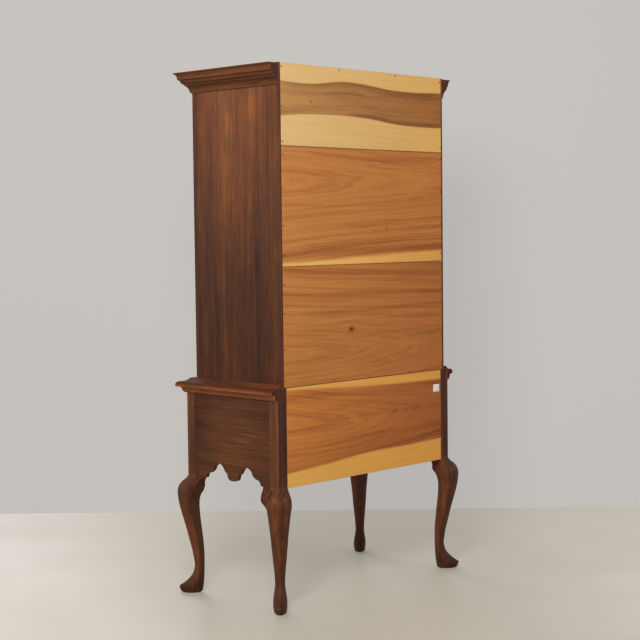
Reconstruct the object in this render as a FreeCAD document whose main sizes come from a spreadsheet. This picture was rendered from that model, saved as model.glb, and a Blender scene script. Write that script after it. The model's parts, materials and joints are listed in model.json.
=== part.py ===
import FreeCAD, Part
import math
import os
import re
import Sketcher
from FreeCAD import Vector

# A two-part flat-top highboy: an upper case of drawers standing inside the moulding of a base with
# four cabriole legs. Millimetres, +Z up, the drawers face -Y. The origin is on the floor at the
# centre of the base, so that it stays in the middle of the four legs.

SIZES = {
    # the base, and how far the upper case stands in from its side and front faces
    "leg_height": 454,
    "base_width": 979,
    "base_depth": 496,
    "side_inset": 25.5,
    "front_inset": 29,
    # the base: corner posts, panels between them, rails of the front
    "post": 45,
    "post_arris": 1.5,
    "panel_thick": 18,
    "panel_recess": 2.5,
    "base_back_thick": 20,
    "base_back_recess": 1,
    "front_thick": 20,
    "apron_height": 82,
    "small_opening": 110,
    "base_long_opening": 96,
    "base_top_rail": 61,
    "bearer_thick": 20,
    "bearer_width": 70,
    # the upper case
    "upper_side_thick": 20,
    "rabbet_lip": 9,
    "upper_back_thick": 12,
    "lower_board_height": 441,
    "middle_board_height": 436,
    "board_gap": 0.8,
    "top_thick": 16,
    "bottom_thick": 16,
    "bottom_rail": 27,
    "top_rail": 77,
    "opening_1": 140,
    "opening_2": 165,
    "opening_3": 195,
    "opening_4": 225,
    "opening_5": 250,
    # rails between drawers, the uprights between drawers of one row, and runners
    "rail": 20,
    "rail_depth": 60,
    "divider": 20,
    "divider_depth": 30,
    "runner_width": 20,
    "runner_thick": 14,
    "guide_height": 10,
    # mouldings
    "cornice_height": 76,
    "cornice_reach": 52,
    "cornice_set_down": 3,
    "waist_rim": 12,
    "waist_drop": 45,
    "waist_reach": 32,
    "seat_gap": 0.5,
    # drawers
    "drawer_front_thick": 22,
    "lip_thick": 8,
    "lip_overlap": 7,
    "lip_round": 6,
    "side_gap": 1.5,
    "top_gap": 3,
    "running_gap": 0.3,
    "rear_gap": 9,
    "box_thick": 10,
    "box_drop": 4,
    "drawer_bottom_thick": 8,
    "bottom_raise": 6,
    "tail_length": 11,
    "tail_wide": 26,
    "tail_narrow": 19,
    "tail_pitch": 42,
    # brass pulls, escutcheons and locks
    "plate_thick": 1.2,
    "bore_spacing": 70,
    "pivot_standoff": 12,
    "pivot_rise": 8,
    "knob_radius": 5.2,
    "stem_radius": 3.2,
    "collar_height": 2.5,
    "bolt_radius": 2.4,
    "bolt_clearance": 0.2,
    "nut_side": 10,
    "nut_thick": 4,
    "bolt_end": 2,
    "bail_radius": 2.0,
    "bail_clearance": 0.1,
    "bail_drop": 27,
    "bail_arm_gap": 1.5,
    "bail_corner": 17,
    "bail_pin": 4.2,
    "lock_width": 44,
    "lock_height": 34,
    "lock_thick": 9,
    "keyhole_radius": 2.6,
    "keyhole_drop": 10,
    "keyhole_slot": 2.6,
    # nails in the back
    "nail_radius": 1.4,
    "nail_head_radius": 3.0,
    "nail_head_thick": 0.8,
    "nail_length": 28,
}

# The maker's pattern of a leg: a stick 454 high on a 45 post. Each section has its height, the reach
# of its outer arris past the post's corner, the reach of its inner arris, half its width, and how
# round it is at the outer arris, at the flanks and at the inner arris (0 sharp, 0.55 a circle). A
# section is widest a little nearer its inner arris than half way.
LEG_PATTERN_HEIGHT = 454
LEG_PATTERN_POST = 45
LEG_WIDEST = 0.47
LEG_PATTERN = [
    (500, -12, -56, 24, 0.20, 0.20, 0.20),
    (478, -7, -60, 28.5, 0.13, 0.10, 0.10),
    (464, -3, -60, 31, 0.12, 0.10, 0.08),
    (455, 1.5, -60, 32.6, 0.12, 0.10, 0.08),
    (446, 9, -60, 35, 0.14, 0.14, 0.08),
    (437, 20.5, -60, 38.5, 0.17, 0.18, 0.10),
    (427, 30.5, -59.5, 42.2, 0.19, 0.22, 0.11),
    (417, 37, -58, 45, 0.20, 0.26, 0.13),
    (405, 41, -55.5, 46.6, 0.21, 0.28, 0.16),
    (391, 42.3, -52, 46.8, 0.22, 0.30, 0.20),
    (375, 41, -46, 44.2, 0.22, 0.30, 0.22),
    (358, 38.8, -42.5, 41.7, 0.22, 0.30, 0.24),
    (328, 32.5, -42, 38.2, 0.23, 0.30, 0.26),
    (290, 22, -44.9, 33.8, 0.25, 0.32, 0.30),
    (250, 10.5, -49.5, 30.3, 0.28, 0.34, 0.34),
    (203, -1, -54.3, 26.6, 0.32, 0.38, 0.38),
    (156, -12.5, -57.6, 22, 0.38, 0.44, 0.46),
    (124, -17.8, -57.9, 19.4, 0.42, 0.48, 0.50),
    (105, -19.6, -57.6, 18.6, 0.44, 0.50, 0.52),
    (88, -16.8, -57.1, 19.6, 0.44, 0.50, 0.54),
    (70, -9.5, -56.4, 22.4, 0.42, 0.50, 0.55),
    (55, 2.5, -55.6, 24.9, 0.38, 0.50, 0.55),
    (42, 17, -54.4, 26, 0.34, 0.50, 0.55),
    (31, 33, -52.8, 26.3, 0.31, 0.48, 0.55),
    (25.5, 40, -52, 26.1, 0.30, 0.48, 0.55),
    (21.5, 41, -51.4, 25.8, 0.30, 0.48, 0.55),
    (16, 39.2, -50.6, 25.1, 0.31, 0.48, 0.55),
    (10, 37.2, -49.4, 24.2, 0.33, 0.48, 0.55),
    (5, 34, -46.8, 22.6, 0.36, 0.50, 0.55),
    (1.8, 30, -43.4, 20.4, 0.38, 0.50, 0.55),
    (0, 25, -39, 17.6, 0.40, 0.50, 0.55),
]

# The pattern of a knee block: height, how far along the case from the post's corner it reaches
# there, and how far its face swells past the post.
BLOCK_PATTERN = [
    (457, 88, -1.0),
    (453, 83, 3.0),
    (447, 77, 11.0),
    (440, 73.5, 18.0),
    (430, 70, 26.0),
    (419, 67.5, 30.5),
    (409, 68, 29.0),
    (401, 64, 26.0),
    (390, 53, 24.0),
    (378, 43, 22.0),
    (368, 36.5, 20.0),
    (356, 32, 15.0),
]
BLOCK_START = 30
BLOCK_ROUND = 6

# Half of one scallop of the apron, from the middle of its drop to the knee block: distance along
# and height above the leg height. The part between the two steps stretches with the span.
SCALLOP_STEPS = [
    [(12, 5.8), (22.6, 10.4), (28.2, 21), (31, 32)],
    [(38, 33.5)],
    [(44, 40), (49.4, 49), (60, 59.6), (73, 65.4)],
    [(87, 60.8), (103, 49.8)],
    [(103.6, 44.5)],
    [(113.4, 32.3), (124, 25.6), (134.5, 23.8)],
    [(144.5, 17.5), (150, 4.4)],
    [(153, 3)],
]
SCALLOP_LOW = 4.5
SCALLOP_RISE_FROM = 38
SCALLOP_PEAK = 73
SCALLOP_RISE_TO = 103
SCALLOP_END = 153
BLOCK_LENGTH = 50

os.makedirs("parts", exist_ok=True)
doc = FreeCAD.newDocument("Highboy")
nodes = {}


def make_sheet():
    """Puts the driving dimensions in a spreadsheet, one named cell each."""
    cells = doc.addObject("Spreadsheet::Sheet", "Sizes")
    for row, (alias, value) in enumerate(SIZES.items(), start=1):
        cells.set(f"A{row}", alias)
        cells.set(f"B{row}", str(value))
        cells.setAlias(f"B{row}", alias)
    doc.recompute()
    return cells


sheet = make_sheet()


def size(alias):
    """One driving dimension, as a number."""
    return float(sheet.get(alias))


def bound(formula):
    """A formula of size names as an expression on the sheet."""
    return re.sub(r"[a-z]\w*", r"Sizes.\g<0>", formula)


def value(formula):
    """What a formula of size names comes to, as a number."""
    return float(sheet.evalExpression(bound(formula)))


# ---------------------------------------------------------------------------------------------
# Planes that several pieces share, as formulas of the sheet's sizes
# ---------------------------------------------------------------------------------------------

REAR = "base_depth / 2"
BASE_FRONT = "-base_depth / 2"
BASE_SIDE = "base_width / 2"
BASE_BAY = "(base_width / 2 - post)"
UPPER_SIDE = "(base_width / 2 - side_inset)"
UPPER_BAY = "(base_width / 2 - side_inset - upper_side_thick)"
UPPER_FRONT = "(front_inset - base_depth / 2)"
BASE_BACK_FACE = f"({REAR} - base_back_recess - base_back_thick)"
UPPER_BACK_FACE = f"({REAR} - upper_back_thick)"
APRON_TOP = "(leg_height + apron_height)"
MIDDLE_RAIL_LOW = f"({APRON_TOP} + small_opening)"
MIDDLE_RAIL_TOP = f"({MIDDLE_RAIL_LOW} + rail)"
TOP_RAIL_LOW = f"({MIDDLE_RAIL_TOP} + base_long_opening)"
BASE_TOP = f"({TOP_RAIL_LOW} + base_top_rail)"


def opening_low(row):
    """Height of the bottom of an upper row's opening; row 1 is the top one."""
    below = "".join(f" + opening_{lower} + rail" for lower in range(row + 1, 6))
    return f"({BASE_TOP} + bottom_rail{below})"


def opening_high(row):
    """Height of the top of an upper row's opening."""
    return f"({opening_low(row)} + opening_{row})"


UNDER_TOP = f"({opening_high(1)} + top_rail)"
TOP = f"({UNDER_TOP} + top_thick)"


# ---------------------------------------------------------------------------------------------
# Small makers
# ---------------------------------------------------------------------------------------------

def place(item, x="0", y="0", z="0"):
    """Binds where an object stands."""
    for axis, formula in (("x", x), ("y", y), ("z", z)):
        item.setExpression(f"Placement.Base.{axis}", bound(formula))
    return item


def board(name, x, y, z):
    """A rectangular board between three pairs of planes."""
    item = doc.addObject("Part::Box", name)
    for side, (low, high) in (("Length", x), ("Width", y), ("Height", z)):
        item.setExpression(side, bound(f"({high}) - ({low})"))
    return place(item, x[0], y[0], z[0])


def mirrored(span):
    """The same pair of planes on the other side of the middle."""
    return f"-({span[1]})", f"-({span[0]})"


def feature(name, shape, x="0", y="0", z="0"):
    """An object whose shape is built in code at its own origin, then placed."""
    item = doc.addObject("Part::Feature", name)
    item.Shape = shape
    return place(item, x, y, z)


def group(name, pieces):
    """Several solids kept as separate solids of one object."""
    item = doc.addObject("Part::Compound", name)
    item.Links = pieces
    return item


def cut(name, base, tool):
    """One object less another."""
    item = doc.addObject("Part::Cut", name)
    item.Base = base
    item.Tool = tool
    return item


def node(name, *pieces):
    """Registers a sub-part under its name."""
    item = pieces[0] if len(pieces) == 1 else group(name, list(pieces))
    item.Label = name
    nodes[name] = item
    return item


def outline(start, steps, point):
    """Edges from a start through steps: one point is a line, two an arc, more a smooth curve."""
    edges = []
    here = point(*start)
    for step in steps:
        targets = [point(*target) for target in step]
        if len(targets) == 1:
            edges.append(Part.LineSegment(here, targets[0]).toShape())
        elif len(targets) == 2:
            edges.append(Part.Arc(here, *targets).toShape())
        else:
            curve = Part.BSplineCurve()
            curve.interpolate([here] + targets)
            edges.append(curve.toShape())
        here = targets[-1]
    return edges


def closed_face(start, steps, point):
    """A flat face inside a closed outline."""
    edges = outline(start, steps + [[start]], point)
    return Part.Face(Part.Wire(edges))


def across(shape):
    """The mirror image on the other side, left for right."""
    return shape.mirror(Vector(0, 0, 0), Vector(1, 0, 0))


def front_to_back(shape):
    """The mirror image at the other end, front for back."""
    return shape.mirror(Vector(0, 0, 0), Vector(0, 1, 0))


# ---------------------------------------------------------------------------------------------
# Legs and knee blocks
# ---------------------------------------------------------------------------------------------

def pattern_level(height):
    """Where a height of the pattern comes: the leg stretches, what is above it only moves up."""
    leg = size("leg_height")
    if height > LEG_PATTERN_HEIGHT:
        return leg + height - LEG_PATTERN_HEIGHT
    return leg * height / LEG_PATTERN_HEIGHT


def leg_section(height, outer, inner, half, tip, flank, heel):
    """One closed section of the leg: four curves between arrises on and across the diagonal."""
    unit = size("post") / LEG_PATTERN_POST
    level = pattern_level(height)
    outer, inner, half = outer * unit, inner * unit, half * unit
    middle = inner + (outer - inner) * LEG_WIDEST

    def at(along, side):
        return Vector((along + side) / math.sqrt(2), (along - side) / math.sqrt(2), level)

    def quarter(end, roundness, sign):
        """Poles from an end of the diagonal to the flank on one side."""
        reach = end - middle
        return [
            at(end, 0),
            at(end, sign * roundness * half),
            at(middle + flank * reach, sign * half),
            at(middle, sign * half),
        ]

    runs = [
        quarter(outer, tip, 1),
        quarter(inner, heel, 1)[::-1],
        quarter(inner, heel, -1),
        quarter(outer, tip, -1)[::-1],
    ]
    edges = []
    for poles in runs:
        curve = Part.BezierCurve()
        curve.setPoles(poles)
        edges.append(curve.toShape())
    return Part.Wire(edges)


def swap(shape):
    """The mirror image in the leg's diagonal, which turns a side block into a front block."""
    return shape.mirror(Vector(0, 0, 0), Vector(1, -1, 0))


def leg_shape():
    """The rear right leg, with the post's outer corner over the origin."""
    post = size("post")
    bottom = size("leg_height")
    rise = value(BASE_TOP) - bottom
    upright = Part.makeBox(post, post, rise, Vector(-post, -post, bottom))
    outer_arris = [e for e in upright.Edges if e.BoundBox.XMin > -1 and e.BoundBox.YMin > -1]
    upright = upright.makeFillet(size("post_arris"), outer_arris)
    stick = Part.makeLoft([leg_section(*row) for row in LEG_PATTERN], True, False)
    beyond_inner_face = Part.makeBox(post, 3 * post, rise, Vector(-2 * post, -2 * post, bottom))
    stick = stick.cut([beyond_inner_face, swap(beyond_inner_face)])
    return upright.fuse(stick)


def block_section(height, end, swell):
    """A level section of a knee block: straight back, rounded far corner, swelling face."""
    unit = size("post") / LEG_PATTERN_POST
    level = pattern_level(height)
    back = -size("panel_recess") - size("panel_thick")
    near, far, face = BLOCK_START * unit, end * unit, swell * unit
    round_off = min(BLOCK_ROUND, far - near - 1, face - back - 1)
    mid = round_off * (1 - math.sqrt(0.5))
    return Part.Wire(outline(
        (back, near),
        [
            [(back, far)],
            [(face - round_off, far)],
            [(face - mid, far - mid), (face, far - round_off)],
            [(face, near)],
            [(back, near)],
        ],
        lambda out, along: Vector(out, -along, level),
    ))


def knee_block_shape(leg):
    """The block beside the knee of the rear right leg, fitted to the leg's own surface."""
    sections = [block_section(*row) for row in BLOCK_PATTERN]
    return Part.makeLoft(sections, True, False).cut(leg)


def make_legs():
    """Four legs at the corners and six knee blocks: both sides, and the front only."""
    rear_right = leg_shape()
    side_block = knee_block_shape(rear_right)
    corners = {
        "leg_rear_right": (rear_right, BASE_SIDE, REAR),
        "leg_rear_left": (across(rear_right), f"-{BASE_SIDE}", REAR),
        "leg_front_right": (front_to_back(rear_right), BASE_SIDE, BASE_FRONT),
        "leg_front_left": (across(front_to_back(rear_right)), f"-{BASE_SIDE}", BASE_FRONT),
    }
    for name, (shape, x, y) in corners.items():
        node(name, feature(name, shape, x, y))
    front_block = front_to_back(swap(side_block))
    blocks = [
        feature("block_rear_right", side_block, BASE_SIDE, REAR),
        feature("block_rear_left", across(side_block), f"-{BASE_SIDE}", REAR),
        feature("block_side_right", front_to_back(side_block), BASE_SIDE, BASE_FRONT),
        feature("block_side_left", across(front_to_back(side_block)), f"-{BASE_SIDE}", BASE_FRONT),
        feature("block_front_right", front_block, BASE_SIDE, BASE_FRONT),
        feature("block_front_left", across(front_block), f"-{BASE_SIDE}", BASE_FRONT),
    ]
    node("knee_blocks", *blocks)


# ---------------------------------------------------------------------------------------------
# Scalloped panels
# ---------------------------------------------------------------------------------------------

SCALLOP_FOOT = SCALLOP_STEPS[-1][-1][1]


def scallop(start, span, sign):
    """The half scallop from its drop at a start to the end of a span, to either side."""
    free = span - SCALLOP_END - BLOCK_LENGTH
    stretch = 1 + free / (SCALLOP_RISE_TO - SCALLOP_RISE_FROM)

    def along(distance):
        if distance <= SCALLOP_RISE_FROM:
            moved = distance
        elif distance <= SCALLOP_RISE_TO:
            moved = SCALLOP_RISE_FROM + (distance - SCALLOP_RISE_FROM) * stretch
        else:
            moved = distance + free
        return start + sign * moved

    return [[(along(x), size("leg_height") + z) for x, z in step] for step in SCALLOP_STEPS]


def arch(start, span, sign):
    """The rise from a drop at a start to the middle of an arch a span away."""
    stretch = (span - SCALLOP_RISE_FROM) / (SCALLOP_PEAK - SCALLOP_RISE_FROM)

    def along(distance):
        moved = distance
        if distance > SCALLOP_RISE_FROM:
            moved = SCALLOP_RISE_FROM + (distance - SCALLOP_RISE_FROM) * stretch
        return start + sign * moved

    rise = SCALLOP_STEPS[:3]
    return [[(along(x), size("leg_height") + z) for x, z in step] for step in rise]


def backwards(start, steps):
    """The same outline walked from its end to its start."""
    ends = [start] + [step[-1] for step in steps]
    turned = []
    for index in range(len(steps) - 1, -1, -1):
        turned.append(steps[index][:-1][::-1] + [ends[index]])
    return turned


def side_panel_shape():
    """The right side panel of the base, its outer face at x = 0 and its middle at y = 0."""
    half = size("base_depth") / 2 - size("post")
    low = size("leg_height")
    drop = (0, low + SCALLOP_LOW)
    right = scallop(0, half, 1)
    left = scallop(0, half, -1)
    foot = low + SCALLOP_FOOT
    steps = backwards(drop, left) + right
    top = value(BASE_TOP)
    steps += [[(half, foot)], [(half, top)], [(-half, top)], [(-half, foot)]]
    face = closed_face(left[-1][-1], steps, lambda y, z: Vector(0, y, z))
    return face.extrude(Vector(-size("panel_thick"), 0, 0))


def apron_shape():
    """The front apron: one broad arch between two drops, and a scallop outside each."""
    half = size("base_width") / 2 - size("post")
    low = size("leg_height")
    drop_at = half / 3 + size("divider") / 6
    drop = (drop_at, low + SCALLOP_LOW)
    peak = (0, low + SCALLOP_STEPS[2][-1][1])
    right_half = backwards(drop, arch(drop_at, drop_at, -1)) + scallop(drop_at, half - drop_at, 1)
    left_half = [[(-x, z) for x, z in step] for step in right_half]
    end = left_half[-1][-1]
    foot = low + SCALLOP_FOOT
    top = low + size("apron_height")
    steps = backwards(peak, left_half) + right_half
    steps += [[(half, foot)], [(half, top)], [(-half, top)], [(-half, foot)]]
    face = closed_face(end, steps, lambda x, z: Vector(x, 0, z))
    return face.extrude(Vector(0, size("front_thick"), 0))


def make_base_panels():
    """Side panels, apron and back board between the posts."""
    panel = side_panel_shape()
    recess = f"{BASE_SIDE} - panel_recess"
    node("base_side_right", feature("base_side_right", panel, recess))
    node("base_side_left", feature("base_side_left", across(panel), f"-({recess})"))
    node("front_apron", feature("front_apron", apron_shape(), "0", BASE_FRONT))
    node("base_back_board", board(
        "base_back_board",
        (f"-{BASE_BAY}", BASE_BAY),
        (BASE_BACK_FACE, f"{REAR} - base_back_recess"),
        ("leg_height", BASE_TOP),
    ))


def make_base_front_rails():
    """Top rail, middle rail and the two uprights between the small drawers."""
    bay = (f"-{BASE_BAY}", BASE_BAY)
    thick = (BASE_FRONT, f"{BASE_FRONT} + front_thick")
    deep = (BASE_FRONT, f"{BASE_FRONT} + rail_depth")
    first = small_bay(1)[1]
    second = small_bay(2)[1]
    upright = (BASE_FRONT, f"{BASE_FRONT} + divider_depth")
    between = (APRON_TOP, MIDDLE_RAIL_LOW)
    node(
        "base_front_rails",
        board("base_top_rail", bay, thick, (TOP_RAIL_LOW, BASE_TOP)),
        board("base_middle_rail", bay, deep, (MIDDLE_RAIL_LOW, MIDDLE_RAIL_TOP)),
        board("base_upright_left", (first, f"{first} + divider"), upright, between),
        board("base_upright_right", (second, f"{second} + divider"), upright, between),
    )


def small_bay(number):
    """Left and right planes of a small drawer's opening; 1 is the left one."""
    width = f"(2 * {BASE_BAY} - 2 * divider) / 3"
    left = f"(-{BASE_BAY} + {number - 1} * ({width} + divider))"
    return left, f"({left} + {width})"


def make_base_runners():
    """Runners and guides under the base's drawers, and the bearers that carry the upper case."""
    pieces = []
    behind_rail = f"{BASE_FRONT} + rail_depth"
    behind_front = f"{BASE_FRONT} + front_thick"
    outer = (f"{BASE_BAY} - runner_width", BASE_BAY)
    for label, span in (("right", outer), ("left", mirrored(outer))):
        level = (f"{MIDDLE_RAIL_TOP} - runner_thick", MIDDLE_RAIL_TOP)
        pieces.append(board(f"long_runner_{label}", span, (behind_rail, BASE_BACK_FACE), level))
        level = (f"{APRON_TOP} - runner_thick", APRON_TOP)
        pieces.append(board(f"small_runner_{label}", span, (behind_front, BASE_BACK_FACE), level))
    for label, number in (("left", 1), ("right", 2)):
        edge = small_bay(number)[1]
        wide = (f"{edge} - runner_width", f"{edge} + divider + runner_width")
        level = (f"{APRON_TOP} - runner_thick", APRON_TOP)
        pieces.append(board(f"middle_runner_{label}", wide, (behind_front, BASE_BACK_FACE), level))
        narrow = (f"{edge}", f"{edge} + divider")
        level = (APRON_TOP, f"{APRON_TOP} + guide_height")
        guide = (f"{BASE_FRONT} + divider_depth", BASE_BACK_FACE)
        pieces.append(board(f"middle_guide_{label}", narrow, guide, level))
    bearer = (f"{BASE_TOP} - bearer_thick", BASE_TOP)
    panel_face = f"{BASE_SIDE} - panel_recess - panel_thick"
    side = (f"{UPPER_BAY} - bearer_thick", panel_face)
    length = (f"{BASE_FRONT} + post", f"{REAR} - post")
    pieces.append(board("side_bearer_right", side, length, bearer))
    pieces.append(board("side_bearer_left", mirrored(side), length, bearer))
    front = (f"-({UPPER_BAY} - bearer_thick)", f"{UPPER_BAY} - bearer_thick")
    depth = (behind_front, f"{behind_front} + bearer_width")
    pieces.append(board("front_bearer", front, depth, bearer))
    node("base_drawer_runners", *pieces)


# ---------------------------------------------------------------------------------------------
# Mouldings, mitred at the front corners and cut square at the back
# ---------------------------------------------------------------------------------------------

def mitred(name, start, steps, half_width, front, reach):
    """Front and side lengths of a moulding from its profile: distance out from the case, height."""
    rear = size("base_depth") / 2
    wide = half_width + 2 * reach
    long = rear - front + 2 * reach
    side = closed_face(start, steps, lambda out, z: Vector(half_width + out, rear, z))
    side = side.extrude(Vector(0, -long, 0))
    face = closed_face(start, steps, lambda out, z: Vector(-wide, front - out, z))
    face = face.extrude(Vector(2 * wide, 0, 0))
    bounds = face.BoundBox
    inside = bounds.YMax - front
    low = Vector(0, 0, bounds.ZMin - 1)
    tall = Vector(0, 0, bounds.ZLength + 2)

    def prism(corners):
        ring = [Vector(x, y, 0) + low for x, y in corners]
        return Part.Face(Part.makePolygon(ring + ring[:1])).extrude(tall)

    far = 2 * reach
    inner_x = half_width - inside
    side_plan = prism([
        (inner_x, front + inside),
        (half_width + far, front - far),
        (half_width + far, rear),
        (inner_x, rear),
    ])
    front_plan = prism([
        (-inner_x, front + inside),
        (-half_width - far, front - far),
        (half_width + far, front - far),
        (inner_x, front + inside),
    ])
    right = side.common(side_plan)
    return node(
        name,
        feature(f"{name}_front", face.common(front_plan)),
        feature(f"{name}_right", right),
        feature(f"{name}_left", across(right)),
    )


# The cornice's pattern, 54 out and 81 down: distance out from the case and distance down.
CORNICE_PATTERN_REACH = 54
CORNICE_PATTERN_HEIGHT = 81
CORNICE_STEPS = [
    [(54, 0)],
    [(54, 3.5)],
    [(51, 4.5)],
    [(44.5, 12), (41.5, 26)],
    [(40.8, 28.5)],
    [(34.6, 31)],
    [(33, 35.5)],
    [(30.6, 42), (23.6, 46.5)],
    [(22.6, 47.5)],
    [(22.2, 50.5)],
    [(11.5, 62), (6.5, 78)],
    [(6.2, 81)],
    [(0, 81)],
]


def make_cornice():
    """Fillet, ogee, small ovolo and cove under the flat top."""
    reach = size("cornice_reach")
    top = value(TOP) - size("cornice_set_down")
    down = size("cornice_height") / CORNICE_PATTERN_HEIGHT
    out = reach / CORNICE_PATTERN_REACH
    steps = [[(x * out, top - below * down) for x, below in step] for step in CORNICE_STEPS]
    mitred("cornice", (0, top), steps, value(UPPER_SIDE), value(UPPER_FRONT), reach)


# The waist moulding's pattern: distance out from the base's face, and height from the base's top.
WAIST_PATTERN_REACH = 31.5
WAIST_PATTERN_RIM = 13
WAIST_PATTERN_DROP = 45
WAIST_FLAT_START = -10.5
WAIST_FLAT_LEAST = 4
WAIST_STEPS = [
    [(-5.5, 7.6), (4.2, 1)],
    [(6.5, -1.6)],
    [(18.5, -2.2)],
    [(28, -6), (31.5, -15), (29, -21.8)],
    [(18.5, -22.5)],
    [(14.4, -29), (11.2, -38.5), (5.8, -43.2)],
    [(5, -45)],
    [(0, -45)],
]


def make_waist():
    """The moulding round the top of the base, with a rim that the upper case stands inside."""
    reach = size("waist_reach")
    seat = value(BASE_TOP)
    rim = size("waist_rim")
    inner = size("seat_gap") - size("side_inset")
    out = reach / WAIST_PATTERN_REACH
    up = rim / WAIST_PATTERN_RIM
    down = size("waist_drop") / WAIST_PATTERN_DROP

    def level(z):
        return seat + z * (up if z > 0 else down)

    flat = max(inner + WAIST_FLAT_LEAST, WAIST_FLAT_START)
    side = size("base_width") / 2
    steps = [[(flat, seat + rim)]]
    steps += [[(x * out, level(z)) for x, z in step] for step in WAIST_STEPS]
    steps += [[(0, seat)], [(inner, seat)]]
    mitred("waist_molding", (inner, seat + rim), steps, side, -size("base_depth") / 2, reach)


# ---------------------------------------------------------------------------------------------
# The upper case
# ---------------------------------------------------------------------------------------------

# Low and high edges of the three back boards, from the bottom up.
LOWER_JOINT = f"({BASE_TOP} + lower_board_height)"
UPPER_JOINT = f"({LOWER_JOINT} + middle_board_height)"
BACK_BOARD_EDGES = (
    (BASE_TOP, f"{LOWER_JOINT} - board_gap / 2"),
    (f"{LOWER_JOINT} + board_gap / 2", f"{UPPER_JOINT} - board_gap / 2"),
    (f"{UPPER_JOINT} + board_gap / 2", TOP),
)

def side_with_rabbet(name):
    """A side of the upper case, made as a body: its plan with the rabbet, padded to its height."""
    body = doc.addObject("PartDesign::Body", name)
    plan = body.newObject("Sketcher::SketchObject", f"{name}_plan")
    origin = [f for f in body.Origin.OriginFeatures if f.Role == "XY_Plane"][0]
    plan.AttachmentSupport = [(origin, "")]
    plan.MapMode = "FlatFace"
    thick = size("upper_side_thick")
    deep = value(f"{REAR} - {UPPER_FRONT}")
    lip = size("rabbet_lip")
    back = size("upper_back_thick")
    corners = [(0, 0), (0, -deep), (-thick, -deep), (-thick, -back), (-lip, -back), (-lip, 0)]
    for index, corner in enumerate(corners):
        following = corners[(index + 1) % len(corners)]
        line = Part.LineSegment(Vector(*corner, 0), Vector(*following, 0))
        plan.addGeometry(line, False)
    for index in range(6):
        plan.addConstraint(Sketcher.Constraint("Coincident", index, 2, (index + 1) % 6, 1))
        direction = "Vertical" if index % 2 == 0 else "Horizontal"
        plan.addConstraint(Sketcher.Constraint(direction, index))
    plan.addConstraint(Sketcher.Constraint("Coincident", 0, 1, -1, 1))
    named = (
        ("depth", "DistanceY", (0, 2, 0, 1), deep, f"{REAR} - {UPPER_FRONT}"),
        ("thick", "DistanceX", (1, 2, 1, 1), thick, "upper_side_thick"),
        ("lip", "DistanceX", (5, 1, 5, 2), lip, "rabbet_lip"),
        ("rabbet", "DistanceY", (4, 1, 5, 2), back, "upper_back_thick"),
    )
    for label, kind, ends, length, formula in named:
        number = plan.addConstraint(Sketcher.Constraint(kind, *ends, length))
        plan.renameConstraint(number, label)
        plan.setExpression(f"Constraints.{label}", bound(formula))
    pad = body.newObject("PartDesign::Pad", f"{name}_pad")
    pad.Profile = plan
    pad.setExpression("Length", bound(f"{TOP} - {BASE_TOP}"))
    return body


def make_upper_sides():
    """Two sides: the left one is the right one's mirror image."""
    right = side_with_rabbet("upper_side_right")
    place(right, UPPER_SIDE, REAR, BASE_TOP)
    node("upper_side_right", right)
    left = doc.addObject("Part::Mirroring", "upper_side_left")
    left.Source = right
    left.Normal = Vector(1, 0, 0)
    node("upper_side_left", left)


def make_upper_boards():
    """Top and bottom boards between the sides, and three back boards nailed over them."""
    bay = (f"-{UPPER_BAY}", UPPER_BAY)
    behind_rail = f"{UPPER_FRONT} + front_thick"
    node(
        "upper_top_and_bottom",
        board("top_board", bay, (UPPER_FRONT, UPPER_BACK_FACE), (UNDER_TOP, TOP)),
        board(
            "bottom_board", bay, (behind_rail, UPPER_BACK_FACE),
            (BASE_TOP, f"{BASE_TOP} + bottom_thick"),
        ),
    )
    wide = (f"-({UPPER_SIDE} - rabbet_lip)", f"{UPPER_SIDE} - rabbet_lip")
    thick = (UPPER_BACK_FACE, REAR)
    pieces = []
    for number, (low, high) in enumerate(BACK_BOARD_EDGES, start=1):
        pieces.append(board(f"back_board_{number}", wide, thick, (low, high)))
    node("upper_back_boards", *pieces)


def make_upper_rails():
    """Bottom rail, the blades between drawers, top rail and the upright of the top row."""
    bay = (f"-{UPPER_BAY}", UPPER_BAY)
    thick = (UPPER_FRONT, f"{UPPER_FRONT} + front_thick")
    deep = (UPPER_FRONT, f"{UPPER_FRONT} + rail_depth")
    pieces = [board("upper_bottom_rail", bay, thick, (BASE_TOP, opening_low(5)))]
    for row in range(2, 6):
        level = (opening_high(row), opening_low(row - 1))
        pieces.append(board(f"blade_{row}", bay, deep, level))
    pieces.append(board("upper_top_rail", bay, thick, (opening_high(1), UNDER_TOP)))
    upright = (UPPER_FRONT, f"{UPPER_FRONT} + divider_depth")
    level = (opening_low(1), opening_high(1))
    pieces.append(board("upper_upright", ("-divider / 2", "divider / 2"), upright, level))
    node("upper_drawer_blades", *pieces)


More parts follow.
